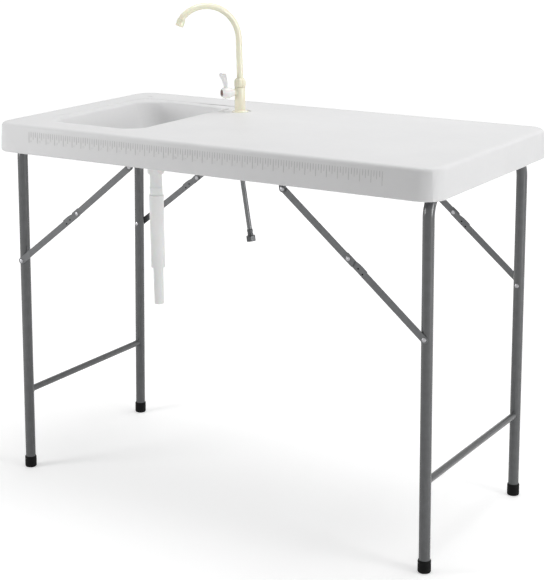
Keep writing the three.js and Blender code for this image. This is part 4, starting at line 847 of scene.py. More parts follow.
@dataclass
class TableTop:
    """Moulded top with the ruler on its front face."""

    first_tick_x: float = 0.453
    tick_pitch: float = 0.00635
    ticks: int = 145
    ticks_per_inch: int = 4
    tick_top: float = 0.8715
    quarter_length: float = 0.0135
    half_length: float = 0.0185
    inch_length: float = 0.0265
    start_length: float = 0.031
    tick_width: float = 0.0017
    tick_rise: float = 0.0006
    tick_sink: float = 0.0002
    face_foot: float = 0.821
    face_head: float = 0.875
    face_foot_y: float = -0.305
    face_draft: float = 0.003
    numeral_size: float = 0.0077
    numeral_depth: float = 0.0004
    numeral_drop: float = 0.0245
    numeral_shift: float = 0.9
    bowl_from_x: tuple[float, ...] = (-520, -465, -448, -395, -350)
    bowl_to_x: tuple[float, ...] = (-520, -500, -480, -427, -350)
    bowl_from_y: tuple[float, ...] = (-290, -222.5, -165, -30, 30, 78, 134.5, 164, 215)
    bowl_to_y: tuple[float, ...] = (-290, -227.5, -170, -30, 30, 128, 184.5, 198, 215)
    pad_from_y: tuple[float, ...] = (157, 164, 200)
    pad_to_y: tuple[float, ...] = (157, 196, 200)
    bowl_right: float = -0.2105
    pad_right: float = -0.165
    pad_floor: float = 0.880
    ledge: float = 0.882
    ledge_lift: float = 0.0018
    lift_end: float = -0.20
    lift_fade: float = 0.05
    seam: float = 0.0001
    corner_centre: tuple[float, float] = (-0.427, -0.176)
    corner_sharpness: float = 0.27
    corner_reach: tuple[float, float] = (0.076, 0.120)

    def widened(self, mesh: bpy.types.Mesh) -> None:
        """Gives the bowl and the ledge round it the size that the photograph shows.

        Points left of the bowl's right edge are carried by two piecewise straight maps, x' = f(x) and
        y' = g(y), which leave the drain, the skirt and the frames' seats in place and fade out towards
        them. The ledge's back line further right follows a third map, y' = h(y), that fades out towards
        the tap. The ledge's floor is lifted by a share that falls from 1 to 0 towards the tap. The front
        left corner is tightened: at angle a round its centre a radius grows by the share k sin^2(2 a),
        which fades out further away.

        Args:
            mesh: Copy of the CAD top, changed in place.
        """
        flat = np.empty(len(mesh.vertices) * 3)
        mesh.vertices.foreach_get("co", flat)
        points = flat.reshape(-1, 3)
        x, y, z = points.T.copy()
        x_steps, x_places, y_steps, y_places, pad_steps, pad_places = (
            np.array(places) * MM
            for places in (
                self.bowl_from_x, self.bowl_to_x, self.bowl_from_y, self.bowl_to_y,
                self.pad_from_y, self.pad_to_y,
            )
        )
        from_left = np.clip((x - x_steps[0]) / (x_steps[1] - x_steps[0]), 0, 1)
        from_front = np.clip((y - y_steps[0]) / (y_steps[1] - y_steps[0]), 0, 1)
        from_back = np.clip((y_steps[-1] - y) / (y_steps[-1] - y_steps[-2]), 0, 1)
        from_tap = np.clip((self.pad_right - x) / (self.pad_right - self.bowl_right), 0, 1)
        wider = (np.interp(x, x_steps, x_places) - x) * from_front * from_back
        deeper = (np.interp(y, y_steps, y_places) - y) * from_left
        pad = (z > self.pad_floor) & (y > pad_steps[0]) & (y < pad_steps[-1])
        set_back = np.where(pad, (np.interp(y, pad_steps, pad_places) - y) * from_tap, 0)
        bowl = x < self.bowl_right + self.seam
        inside = bowl & (x > x_steps[0]) & (y > y_steps[0]) & (y < y_steps[-1])
        points[:, 0] += np.where(inside & (x < x_steps[-1]), wider, 0)
        points[:, 1] += np.where(bowl, np.where(inside, deeper, 0), set_back)
        lift = self.ledge_lift * np.clip((self.lift_end - x) / self.lift_fade, 0, 1)
        points[:, 2] = np.where(inside & (np.abs(z - self.ledge) < 10 * WELD), z + lift, z)
        u, v = np.clip(np.array(self.corner_centre)[:, None] - points[:, :2].T, 0, None)
        near, far = self.corner_reach
        fade = np.clip((far - np.hypot(u, v)) / (far - near), 0, 1)
        share = self.corner_sharpness * np.sin(2 * np.arctan2(v, u)) ** 2 * fade
        points[:, :2] -= np.stack([u * share, v * share], -1)
        mesh.vertices.foreach_set("co", points.ravel())

    def face_y(self, z: Array | float) -> Array | float:
        """Front face at a height: it leans back by the draft from its foot to its head."""
        return self.face_foot_y + self.face_draft * (z - self.face_foot) / (self.face_head - self.face_foot)

    def tick_length(self, number: int) -> float:
        """Length of a ruler line: the first is the longest, then inches, halves and quarters."""
        if number == 0:
            return self.start_length
        if number % self.ticks_per_inch == 0:
            return self.inch_length
        return self.half_length if number % (self.ticks_per_inch // 2) == 0 else self.quarter_length

    def ruler(self) -> Surface:
        """All ruler lines as low rounded ribs on the leaning front face, dressed in a darker grey than the
        top as painted shade.

        A rib is the grid of height share v and width angle a: x = w/2 cos a, y = face(z) - rise sin a,
        z from the line's top down by its length, the rise falling to nothing at both ends and the width
        to three tenths.

        Returns:
            The surface.
        """
        surface = Surface("ruler_lines")
        angle = np.linspace(0, math.pi, 7)
        share = np.array([0, 0.02, 0.06, 0.5, 0.94, 0.98, 1.0])
        swell = np.sqrt(np.clip(1 - (2 * share - 1) ** 8, 0, 1))[:, None]
        wide = self.tick_width / 2 * np.cos(angle) * np.maximum(swell, 0.3)
        proud = self.tick_sink - (self.tick_rise + self.tick_sink) * np.sin(angle) * swell
        for number in range(self.ticks):
            z = (self.tick_top - share * self.tick_length(number))[:, None]
            x = self.first_tick_x - number * self.tick_pitch + wide
            y = self.face_y(z) + proud
            surface.patch(np.stack([x, y, np.broadcast_to(z, x.shape)], -1), capped=True)
        return surface

    def numerals(self) -> bpy.types.Object:
        """Raised inch numbers beside the lower ends of the inch lines, all in one mesh."""
        surface = Surface("ruler_numerals")
        upright = QUARTER_TURN - math.atan2(self.face_draft, self.face_head - self.face_foot)
        z = self.tick_top - self.numeral_drop
        for inch in range(1, (self.ticks - 1) // self.ticks_per_inch + 1):
            curve = bpy.data.curves.new("numeral", "FONT")
            curve.body, curve.align_x = str(inch), "CENTER"
            curve.size, curve.extrude = self.numeral_size, self.numeral_depth
            curve.resolution_u = 3
            text = linked("numeral", curve)
            mesh = bpy.data.meshes.new_from_object(text.evaluated_get(bpy.context.evaluated_depsgraph_get()))
            x = self.first_tick_x + (self.numeral_shift - inch * self.ticks_per_inch) * self.tick_pitch
            place = at((x, self.face_y(z), z), upright, "X")
            points = np.array([place @ vertex.co for vertex in mesh.vertices])
            surface.add(points, [polygon.vertices for polygon in mesh.polygons])
            bpy.data.objects.remove(text)
            bpy.data.curves.remove(curve)
            bpy.data.meshes.remove(mesh)
        return surface.build()

    def build(self) -> None:
        """Makes the top, the ruler's lines and its numerals."""
        beside_bowl = (self.bowl_right, self.bowl_right + 10 * self.seam, self.pad_right)
        across_x = [*(place * MM for place in self.bowl_from_x), *beside_bowl]
        across_y = [place * MM for place in (*self.bowl_from_y, *self.pad_from_y)]
        top = cad_copy("table_top", "moulded_top", sharp=math.radians(50), cuts=(across_x, across_y))
        self.widened(top.data)
        dress(top, MOULDED_WHITE, "top", ["table_top"])
        # The ruler's ribs carry painted shade: their grey is darker than the top's own white.
        dress(self.ruler().build(sharp=math.radians(75)), RULER_PAINTED_SHADE, "top")
        dress(self.numerals(), MOULDED_WHITE, "top")


def screw_heads(
    name: str, places: Sequence[tuple[float, float, float]], radius: float, height: float
) -> Surface:
    """Pan heads of cross-recess screws that look down, one at each place.

    The height is h (1 - (r/R)^4)^(1/2), less the recess where the point lies within half a slot's width
    of either slot's middle line and within six tenths of the head.

    Args:
        name: Name of the piece.
        places: Centres of the faces that the heads sit on.
        radius: Radius of a head.
        height: Height of a head.

    Returns:
        The surface of all heads.
    """
    half_slot, depth, reach = 0.16 * radius, 0.45 * height, 0.6
    share, angle = np.linspace(0.001, 1, 16)[:, None], around(48)
    x, y = radius * share * np.cos(angle), radius * share * np.sin(angle)
    in_slot = (np.minimum(np.abs(x), np.abs(y)) < half_slot) & (share < reach)
    recess = np.where(in_slot, depth * (1 - (share / reach) ** 2), 0)
    z = height * np.sqrt(np.clip(1 - share**4, 0, 1)) - recess
    surface = Surface(name)
    for place in places:
        surface.patch(np.stack([x, -y, -z], -1) + np.array(place), capped=True)
    return surface


@dataclass
class LegAssembly:
    """One folding leg frame: bent tube, crossbar, feet, braces, brackets, straps and their fasteners."""

    side: Side
    pivot_x: float
    pivot_z: float
    spread: float
    rivet_z: float
    lower_length: float
    upper_length: float
    lower_slope: float
    upper_slope: float
    leg_radius: float = 0.0125
    bend_radius: float = 0.052
    bar_radius: float = 0.0078
    bar_height: float = 0.204
    weld_radius: float = 0.0013
    weld_sink: float = 0.0004
    weld_ripple: float = 0.13
    weld_ripples: int = 11
    splay_reach: float = 0.015
    foot_radius: float = 0.0145
    foot_height: float = 0.029
    foot_floor: float = 0.005
    rivet_head: float = 0.0052
    rivet_height: float = 0.0022
    link_thickness: float = 0.002
    ear_thickness: float = 0.0025
    running_gap: float = 0.0004
    touch_gap: float = 0.0003
    dimple_first: float = 0.0295
    dimple_pitch: float = 0.015
    dimple_offset: float = 0.0022
    dimple_depth: float = 0.0012
    strap_from_bend: float = 0.032
    strap_screw_inward: float = 0.0253
    strap_face: float = 0.8567
    bracket_screw_reach: float = 0.00825
    bracket_screw_outward: float = 0.0312
    bracket_face: float = 0.8557
    screw_radius: float = 0.0042
    screw_height: float = 0.0018

    @property
    def frame_body(self) -> str:
        """CAD body of the leg frame."""
        return f"{self.side.label}_frame"

    @property
    def lean(self) -> float:
        """Angle by which the frame leans outwards."""
        return math.asin(self.splay_reach / self.pivot_z)

    @property
    def place(self) -> Matrix:
        """Matrix from the leg frame's own axes, legs along -Z from the pivot, to the CAD frame's."""
        sign = self.side.value
        return at((sign * self.pivot_x, 0, self.pivot_z), -sign * self.lean, "Y")

    def stem(self, row: Row) -> str:
        """Start of the names of a leg's pieces and nodes."""
        return f"{self.side.label}_{row.label}"

    def down(self, height: float) -> float:
        """Distance along the leg from the pivot to a height above the floor."""
        return (self.pivot_z - height) / math.cos(self.lean)

    def tubing(self, name: str, flat: Array, radius: float, sides: int) -> Surface:
        """Round tube with closed ends in the leg frame's middle plane.

        Args:
            name: Name of the piece, after the side's.
            flat: Points (y, z) of the centre line.
            radius: Radius of the tube.
            sides: Steps round it.

        Returns:
            The surface.
        """
        grid = tube_grid(np.insert(flat, 0, 0.0, axis=1), ALONG_X, radius, sides)
        return Surface(f"{self.side.label}_{name}").patch(grid, capped=True).moved(self.place)

    def tube(self) -> Surface:
        """Bent tube of both legs and the top tube: straight legs, quarter bends and a straight span."""
        end, r, half = -self.down(self.foot_floor), self.bend_radius, self.spread
        bend = np.linspace(0, QUARTER_TURN, 17)
        leg = np.linspace(end, -r, 24)[:-1]
        side = np.stack([np.full_like(leg, half), leg], -1)
        corner = np.stack([half - r + r * np.cos(bend), -r + r * np.sin(bend)], -1)
        right = np.vstack([side, corner])
        return self.tubing("leg_tube", np.vstack([right, right[::-1] * (-1, 1)]), self.leg_radius, sides=40)

    def bar(self) -> Surface:
        """Crossbar whose ends run into the legs."""
        reach = np.linspace(-1, 1, 24) * (self.spread - self.leg_radius * 0.8)
        flat = np.stack([reach, np.full(24, -self.down(self.bar_height))], -1)
        return self.tubing("bar", flat, self.bar_radius, sides=32)

    def welds(self) -> Surface:
        """Weld bead round each end of the crossbar, where it meets the leg.

        The bead's centre at angle a round the bar lies on the leg's surface, y = spread -
        sqrt(R^2 - (r cos a)^2), and its radius ripples with the angle.

        Returns:
            The surface of both beads.
        """
        surface = Surface(f"{self.side.label}_bar_welds")
        angle, turn = around(60)[:, None], around(10)
        ring = self.bar_radius + self.weld_sink / 2
        bead = self.weld_radius * (1 + self.weld_ripple * np.sin(self.weld_ripples * angle))
        reach = ring + bead * np.cos(turn)
        skin = np.sqrt(self.leg_radius**2 - (ring * np.cos(angle)) ** 2)
        x, z = reach * np.cos(angle), reach * np.sin(angle) - self.down(self.bar_height)
        y = self.spread - skin - self.weld_sink + bead * np.sin(turn)
        for row in Row:
            surface.patch(np.stack([x, row.value * y, z], -1), close_rows=True)
        return surface.moved(self.place)

    def foot(self, row: Row) -> Surface:
        """Rubber foot: a cup on the leg's end, with soft rims and a shallow groove, that meets the floor."""
        tip = -self.pivot_z / math.cos(self.lean)
        r, edge, height = self.foot_radius, 0.002, self.foot_height
        wall, inside = self.leg_radius + self.touch_gap, 0.012
        groove = [(r - 0.0005 * bump(z, 0.021, 0.0009), z) for z in np.linspace(0.016, 0.026, 12)]
        profile = [
            (0, 0.0006), (r - edge * 1.4, 0.0003), (r - edge * 0.4, 0.0012), (r, edge + 0.001), (r, 0.012),
            *groove, (r - 0.0008, height), (wall, height), (wall, inside), (0, inside - 0.001),
        ]
        place = self.place @ at((0, row.value * self.spread, tip))
        return turned(f"{self.stem(row)}_rubber_foot", profile, sides=48, edge=0.0006, place=place)

    def layers(self) -> dict[str, float]:
        """Distances from the table's middle of the faces of link, link and bracket ear."""
        lower_in = self.spread + self.leg_radius + self.running_gap
        upper_in = lower_in + self.link_thickness + self.running_gap
        ear_in = upper_in + self.link_thickness + self.running_gap
        return {
            "lower_out": lower_in + self.link_thickness,
            "upper_in": upper_in,
            "upper_out": upper_in + self.link_thickness,
            "ear_out": ear_in + self.ear_thickness,
        }

    def pivots(self) -> dict[str, tuple[float, float]]:
        """Places of the brace's pivots in the XZ plane."""
        sign = self.side.value
        leg_x = self.pivot_x + math.tan(self.lean) * (self.pivot_z - self.rivet_z)
        knuckle_x = leg_x - self.lower_length * math.cos(self.lower_slope)
        knuckle_z = self.rivet_z + self.lower_length * math.sin(self.lower_slope)
        top_x = knuckle_x - self.upper_length * math.cos(self.upper_slope)
        top_z = knuckle_z + self.upper_length * math.sin(self.upper_slope)
        return {
            "leg": (sign * leg_x, self.rivet_z),
            "knuckle": (sign * knuckle_x, knuckle_z),
            "top": (sign * top_x, top_z),
        }

    def rivet(self, name: str, pivot: str, row: Row, inner: float, outer: float, tail: bool) -> Surface:
        """Rivet along Y: a shank and a domed head with a shallow ring on it.

        Args:
            name: Name of the piece.
            pivot: Which of the brace's pivots it holds.
            row: Long edge that the brace stands at.
            inner: Distance of its inner end from the table's middle.
            outer: Distance of the face that the outer head sits on.
            tail: Whether it has a second head at its inner end.

        Returns:
            The surface.
        """
        angle = np.linspace(0, QUARTER_TURN, 9)
        radius = self.rivet_head * np.sin(angle)
        rise = self.rivet_height * np.cos(angle) - 0.0003 * bump(radius, 0.0022, 0.0006)
        outer_head = list(zip(radius, outer + rise))[::-1]
        inner_head = list(zip(radius, inner - rise * 0.8)) if tail else [(0, inner)]
        profile = [*inner_head, (0.003, inner), (0.003, outer), *outer_head]
        profile[0], profile[-1] = (0, profile[0][1]), (0, profile[-1][1])
        x, z = self.pivots()[pivot]
        place = at((x, 0, z), -row.value * QUARTER_TURN, "X")
        return turned(name, profile, sides=32, edge=0.0001, place=place)

    def dimples(self, row: Row) -> Surface:
        """Dark discs of painted shade on the floors of the two lock dimples on the lower link's outer face,
        and on their backs on its inner one.

        A dimple at distance a from the leg's rivet and b above the link's middle lies at
        x = leg - (a cos s - b sin s), z = rivet + a sin s + b cos s, for the link's slope s.

        Args:
            row: Long edge that the brace stands at.

        Returns:
            The surface of all four.
        """
        sign, slope = self.side.value, self.lower_slope
        leg_x, outer = abs(self.pivots()["leg"][0]), self.layers()["lower_out"]
        surface = Surface(f"{self.stem(row)}_lock_dimples")
        dish = [(0, 0), (0.0019, 0), (0.0019, 0.0003), (0.0015, 0.0002), (0, 0.0001)]
        first = self.lower_length - self.dimple_first
        for a, b in ((first, 0.0), (first - self.dimple_pitch, -self.dimple_offset)):
            x = sign * (leg_x - (a * math.cos(slope) - b * math.sin(slope)))
            z = self.rivet_z + a * math.sin(slope) + b * math.cos(slope)
            for y, turn in (
                (outer - self.dimple_depth + 0.00005, -row.value),
                (outer - self.link_thickness - 0.00002, row.value),
            ):
                place = at((x, row.value * y, z), turn * QUARTER_TURN, "X")
                disc = turned("dish", dish, sides=20, edge=0.00005, place=place)
                surface.add(disc.points, disc.faces)
        return surface

    def knuckle_tail(self, row: Row) -> Surface:
        """Flat-set tail of the knuckle's rivet on the lower link's inner face."""
        x, z = self.pivots()["knuckle"]
        y = self.layers()["lower_out"] - self.link_thickness
        profile = [(0, 0), (0.0046, 0), (0.0043, 0.0002), (0.003, 0.0003), (0, 0.00028)]
        place = at((x, row.value * y, z), row.value * QUARTER_TURN, "X")
        return turned(f"{self.stem(row)}_knuckle_tail", profile, sides=32, edge=0.00005, place=place)

    def screws(self, row: Row) -> Surface:
        """Heads of the strap's screw and of the bracket's two screws."""
        top_x, reach = self.pivots()["top"][0], self.bracket_screw_reach
        strap_x = self.side.value * (self.pivot_x - self.strap_screw_inward)
        strap_y = row.value * (self.spread - self.bend_radius - self.strap_from_bend)
        bracket_y = row.value * (self.spread + self.bracket_screw_outward)
        places = [
            (strap_x, strap_y, self.strap_face),
            *((top_x + step, bracket_y, self.bracket_face) for step in (-reach, reach)),
        ]
        return screw_heads(f"{self.stem(row)}_screws", places, self.screw_radius, self.screw_height)

    def build(self) -> None:
        """Makes and dresses every piece of the assembly."""
        label, body = self.side.label, self.frame_body
        dress(self.tube().build(), GREY_POWDER, body, [f"{label}_leg_frame"])
        dress(self.bar().build(), GREY_POWDER, body, [f"{label}_crossbar"])
        dress(self.welds().build(sharp=math.radians(80)), GREY_POWDER, body)
        for row in Row:
            self.build_row(row)

    def build_row(self, row: Row) -> None:
        """Makes the foot, the brace, the bracket and the strap of one leg."""
        stem, body, layer = self.stem(row), self.frame_body, self.layers()
        dress(self.foot(row).build(), BLACK_RUBBER, body, [f"{stem}_foot"])
        for link in ("lower", "upper"):
            piece = cad_copy(f"{stem}_{link}_link", f"{stem}_{link}_bar", edge=0.00035)
            dress(piece, LINK_ENAMEL, f"{stem}_{link}", [f"{stem}_{link}_link"])
        for part in ("bracket", "strap"):
            piece = cad_copy(f"{stem}_{part}", f"{stem}_steel_{part}", edge=0.0003)
            dress(piece, GREY_POWDER, "top", [f"{stem}_{part}"])
        # Dark discs of painted shade where the dimples of the real link are only shaded.
        dress(self.dimples(row).build(), PAINTED_PIT_SHADE, f"{stem}_lower")
        dress(self.knuckle_tail(row).build(), BRIGHT_ZINC, f"{stem}_lower")
        dress(self.screws(row).build(), BRIGHT_ZINC, "top")
        gap = self.touch_gap
        inner_leg = self.spread - self.leg_radius - gap
        for pivot, rides, inner, outer, tail in (
            ("leg", body, inner_leg, layer["lower_out"] + gap, True),
            ("knuckle", f"{stem}_upper", layer["upper_in"], layer["upper_out"] + gap, False),
            ("top", "top", layer["upper_in"], layer["ear_out"] + gap, False),
        ):
            rivet = self.rivet(f"{stem}_{pivot}_rivet_head", pivot, row, inner, outer, tail)
            dress(rivet.build(), BRIGHT_ZINC, rides, [f"{stem}_{pivot}_rivet"])


@dataclass
class Tap:
    """Gooseneck tap: body with side valve, collar, swivelling spout, aerator, lever and cap."""

    x: float = -0.163
    y: float = 0.137
    seat: float = 0.8823
    heading: float = math.radians(235)
    body_radius: float = 0.0132
    body_height: float = 0.062
    flange_radius: float = 0.020
    flange_height: float = 0.0034
    shank_radius: float = 0.0096
    shank_length: float = 0.062
    valve_height: float = 0.0495
    neck_radius: float = 0.0075
    neck_length: float = 0.024
    hub_radius: float = 0.0142
    hub_length: float = 0.024
    mouth_radius: float = 0.0083
    mouth_depth: float = 0.0042
    blade_foot: float = 0.004
    lever_rise: float = 0.049
    lever_lean: float = 0.009
    lever_notch: float = 0.0055
    lever_twist: float = math.radians(20)
    lobe_middle: float = 0.55
    skirt_length: float = 0.0078
    collar_height: float = 0.021
    flutes: int = 8
    flute_depth: float = 0.0014
    spout_radius: float = 0.0078
    spout_wall: float = 0.0022
    spout_lean: float = math.radians(1.8)
    riser: float = 0.115
    bow_radius: float = 0.085
    bow_end: float = math.radians(41)
    tip_radius: float = 0.018
    tip_end: float = math.radians(68)
    outlet_straight: float = 0.009
    aerator_length: float = 0.019
    ribs: int = 36
    rib_height: float = 0.0002
    gap: float = 0.0003

    @property
    def place(self) -> Matrix:
        """Matrix from the tap's own axes, +X towards valve and outlet, to the CAD frame's."""
        return at((self.x, self.y, self.seat), self.heading)

    def sideways(self, reach: float) -> Matrix:
        """Matrix to a distance along the valve's axis, with Z turned to point along it."""
        return self.place @ at((reach, 0, self.valve_height), QUARTER_TURN, "Y")

    def column(self) -> Surface:
        """Flange, column and threaded shank, with fine rings for the thread under the top."""
        r, shank, end = self.body_radius, self.shank_radius, -self.shank_length
        depth, flange, top = 0.0005, self.flange_radius, self.flange_height
        rings = thread(shank, depth, end + 0.003, 0.0011)
        profile = [
            (0, end), (shank - depth, end), *rings, (shank, -0.0005), (shank, 0), (flange, 0),
            (flange, 0.002), (flange - 0.0008, 0.0033), (r + 0.0034, top), (r + 0.0009, top + 0.0009),
            (r, top + 0.0034),
            (r, self.body_height - 0.0004), (0, self.body_height),
        ]
        return turned("tap_column", profile, sides=64, edge=0.0007, place=self.place)

    def valve_neck(self) -> Surface:
        """Side neck of the valve with a flare where it leaves the column and a rim at its mouth."""
        length, r = self.neck_length, self.neck_radius
        profile = [
            (0, 0), (r + 0.0012, 0), (r + 0.0012, 0.009), (r + 0.001, 0.0115), (r + 0.0006, 0.0125),
            (r + 0.0001, 0.0145), (r, 0.017), (r, length - 0.003), (r + 0.0006, length - 0.0025),
            (r + 0.0006, length - 0.0004), (0, length),
        ]
        return turned("tap_valve_neck", profile, sides=48, edge=0.0004, place=self.sideways(0))

    def collar(self) -> Surface:
        """Fluted collar: r(a, z) = R(z) - d f(z) exp(-(sin(n a / 2) / 0.42)^2) for n flutes of depth d.

        Returns:
            The surface.
        """
        z = [0, 0.6, 2, 4, 8, 12, 14.8, 16.5, 18.5, 20.4, 21]
        outer = [12.6, 13.4, 14.1, 14.2, 14.2, 14.2, 14.1, 13.4, 12.0, 10.6, 10.0]
        fade = np.array([0.5, 0.8, 1, 1, 1, 1, 1, 0.8, 0.45, 0.1, 0])[:, None]
        flute = bump(np.sin(self.flutes * around(128) / 2), 0, 0.42)
        radius = np.array(outer)[:, None] * MM - self.flute_depth * fade * flute
        radius = np.vstack([radius, np.full((2, 128), self.spout_radius + self.gap)])
        height = self.body_height + self.gap + np.array([*z, z[-1], 0]) * MM
        return ring_solid("tap_fluted_collar", radius, height, sides=128, place=self.place)

    def spout_line(self) -> Array:
        """Centre line of the spout in the tap's XZ plane: leaning riser, bow, tip bend, outlet."""
        lean, r = self.spout_lean, self.bow_radius
        bend_z = self.body_height + self.collar_height + self.spout_radius
        along = np.linspace(0, self.riser - self.collar_height - self.spout_radius, 12)
        riser = np.stack([along * math.sin(lean), bend_z + along * math.cos(lean)], -1)

        def arc(centre: Array, radius: float, start: float, stop: float, steps: int) -> Array:
            """Points centre + radius (cos a, sin a) of an arc."""
            angle = np.linspace(start, stop, steps)
            return centre + radius * np.stack([np.cos(angle), np.sin(angle)], -1)

        bow_end, end = QUARTER_TURN - self.bow_end, QUARTER_TURN - self.tip_end
        centre = riser[-1] + r * np.array([math.cos(lean), -math.sin(lean)])
        bow = arc(centre, r, math.pi - lean, bow_end, 60)
        tip_centre = centre + (r - self.tip_radius) * np.array([math.cos(bow_end), math.sin(bow_end)])
        tip = arc(tip_centre, self.tip_radius, bow_end, end, 12)
        outlet = tip[-1] + self.outlet_straight * np.array([math.sin(end), -math.cos(end)])
        foot = [0, self.body_height + 2 * self.gap]
        return np.insert(np.vstack([foot, riser, bow[1:], tip[1:], outlet]), 1, 0.0, axis=1)

    def spout(self) -> Surface:
        """Gooseneck with an open bore at its outlet: the outer tube returns inside as the bore."""
        line, radius = self.spout_line(), self.spout_radius
        outer, bore = (tube_grid(line, ALONG_Y, r, sides=40) for r in (radius, radius - self.spout_wall))
        grid = np.vstack([outer, bore[::-1]])
        return Surface("tap_gooseneck").patch(grid, close_rows=True).moved(self.place)

    def aerator(self) -> Surface:
        """Outlet fitting with fine upright ribs: r(a, z) = R + rise cos(n a) between its plain rims."""
        back, front = self.outlet_straight, self.outlet_straight - self.aerator_length
        up, down = np.array([0, 0.8, 3, 3.5]) * MM, np.array([3, 2.5, 0.6, 0, 0.4]) * MM
        height = np.concatenate([front + up, back - down, [-self.gap, -2 * self.gap, front]])
        outer = np.array([9.1, 9.7, 9.8, 9.6, 9.6, 9.8, 9.7])[:, None] * MM
        ribbed = np.array([0, 0, 0, 1, 1, 0, 0])[:, None]
        radius = outer + self.rib_height * ribbed * np.cos(self.ribs * around(144))
        inner = np.array([8.3, 8.1, 8.1, 7.0, 7.0])[:, None] * MM * np.ones(144)
        place = self.place @ at_end(self.spout_line())
        return ring_solid("tap_aerator", np.vstack([radius, inner]), height, sides=144, place=place)

    def lever(self) -> Surface:
        """Barrel hub with a tapered skirt, and a blade that spreads into two lobes.

        The blade's rings are superellipses at the rise share s, with a half width of 5.2 + 8.8 s^1.4 mm.
        They lean out by lean * s^2 and their sides curl out by 2.2 s q^2 mm for the width share q. With
        t = |q| / m the top edge dips by notch * (1 - t)^1.5 between the lobes and rounds off as
        (t - 1)^2 beyond them. The whole blade is twisted about its rise.

        Returns:
            The surface of hub and blade.
        """
        length, r, tip = self.hub_length, self.hub_radius, -self.skirt_length
        barrel = [
            (r - 0.0035 * (2 * abs(s - 0.45)) ** 4, 0.0006 + s * (length - 0.0012))
            for s in np.linspace(0, 1, 13)
        ]
        mouth, floor = self.mouth_radius, length - self.mouth_depth
        skirt = [(0, 0.0004), (0.0082, 0), (0.0082, tip), (0.0094, tip), (0.0116, -0.0004)]
        profile = [*skirt, *barrel, (0.0098, length), (mouth, length), (mouth, floor), (0, floor)]
        along_x = at((0, 0, 0), QUARTER_TURN, "Y")
        hub = turned("tap_lever_hub", profile, sides=64, edge=0.0006, place=along_x)
        s, angle = np.linspace(0, 1, 34)[:, None], around(48)
        across, front = (np.sign(wave) * np.abs(wave) ** 0.8 for wave in (np.sin(angle), np.cos(angle)))
        end = np.clip((s - 0.8) / 0.2, 0, 1)
        thick = 0.0021 * np.sqrt(np.clip(1 - 0.97 * end**4, 0, 1))
        lobe = np.abs(across) / self.lobe_middle
        dip = self.lever_notch * np.clip(1 - lobe, 0, 1) ** 1.5
        top = self.lever_rise - dip - 0.0065 * (np.clip(lobe - 1, 0, 1) * 1.22) ** 2
        outward = self.lever_lean * s**2 + 0.0022 * s * across**2 + thick * front
        sideways = (0.0052 + 0.0088 * s**1.4) * across
        cos, sin = math.cos(self.lever_twist), math.sin(self.lever_twist)
        x, y = length / 2 + outward * cos - sideways * sin, outward * sin + sideways * cos
        z = self.blade_foot + s * (top - self.blade_foot)
        hub.patch(np.stack([x, y, z], -1), capped=True)
        return hub.moved(self.place @ at((self.neck_length + self.gap, 0, self.valve_height)))

    def cap(self) -> Surface:
        """Cap in the hub's mouth, with a dimple in its middle."""
        radius = 0.0076
        share = np.linspace(1, 0, 12)
        face = list(zip(radius * share, 0.0026 - 0.0006 * share**4 - 0.0012 * bump(share, 0, 0.35)))
        floor = self.neck_length + self.hub_length - self.mouth_depth + 0.0008
        profile = [(0, 0.0), (radius, 0.0), *face]
        return turned("tap_lever_cap", profile, sides=48, edge=0.0002, place=self.sideways(floor))

    def build(self) -> None:
        """Makes and dresses the tap and its hidden fastenings."""
        dress(self.column().build(), IVORY_GLOSS, "top", ["tap_body"])
        dress(self.valve_neck().build(), IVORY_GLOSS, "top")
        dress(self.collar().build(), IVORY_GLOSS, "top", ["swivel_collar"])
        dress(self.spout().build(sharp=math.radians(60)), IVORY_GLOSS, "spout", ["spout"])
        dress(self.aerator().build(), IVORY_GLOSS, "spout", ["aerator"])
        dress(self.lever().build(), FROSTED, "lever", ["lever"])
        dress(self.cap().build(), BROWN_CAP, "lever", ["lever_cap"])
        for node, finish, slot in (
            ("tap_washer", BLACK_RUBBER, Slot.RUBBER),
            ("tap_lock_nut", IVORY_GLOSS, Slot.TAP),
            ("hose_tail_nut", NICKEL, Slot.CHROME),
        ):
            dress(cad_copy(node, f"{node}_smooth", edge=0.0004), finish, "top", [node])


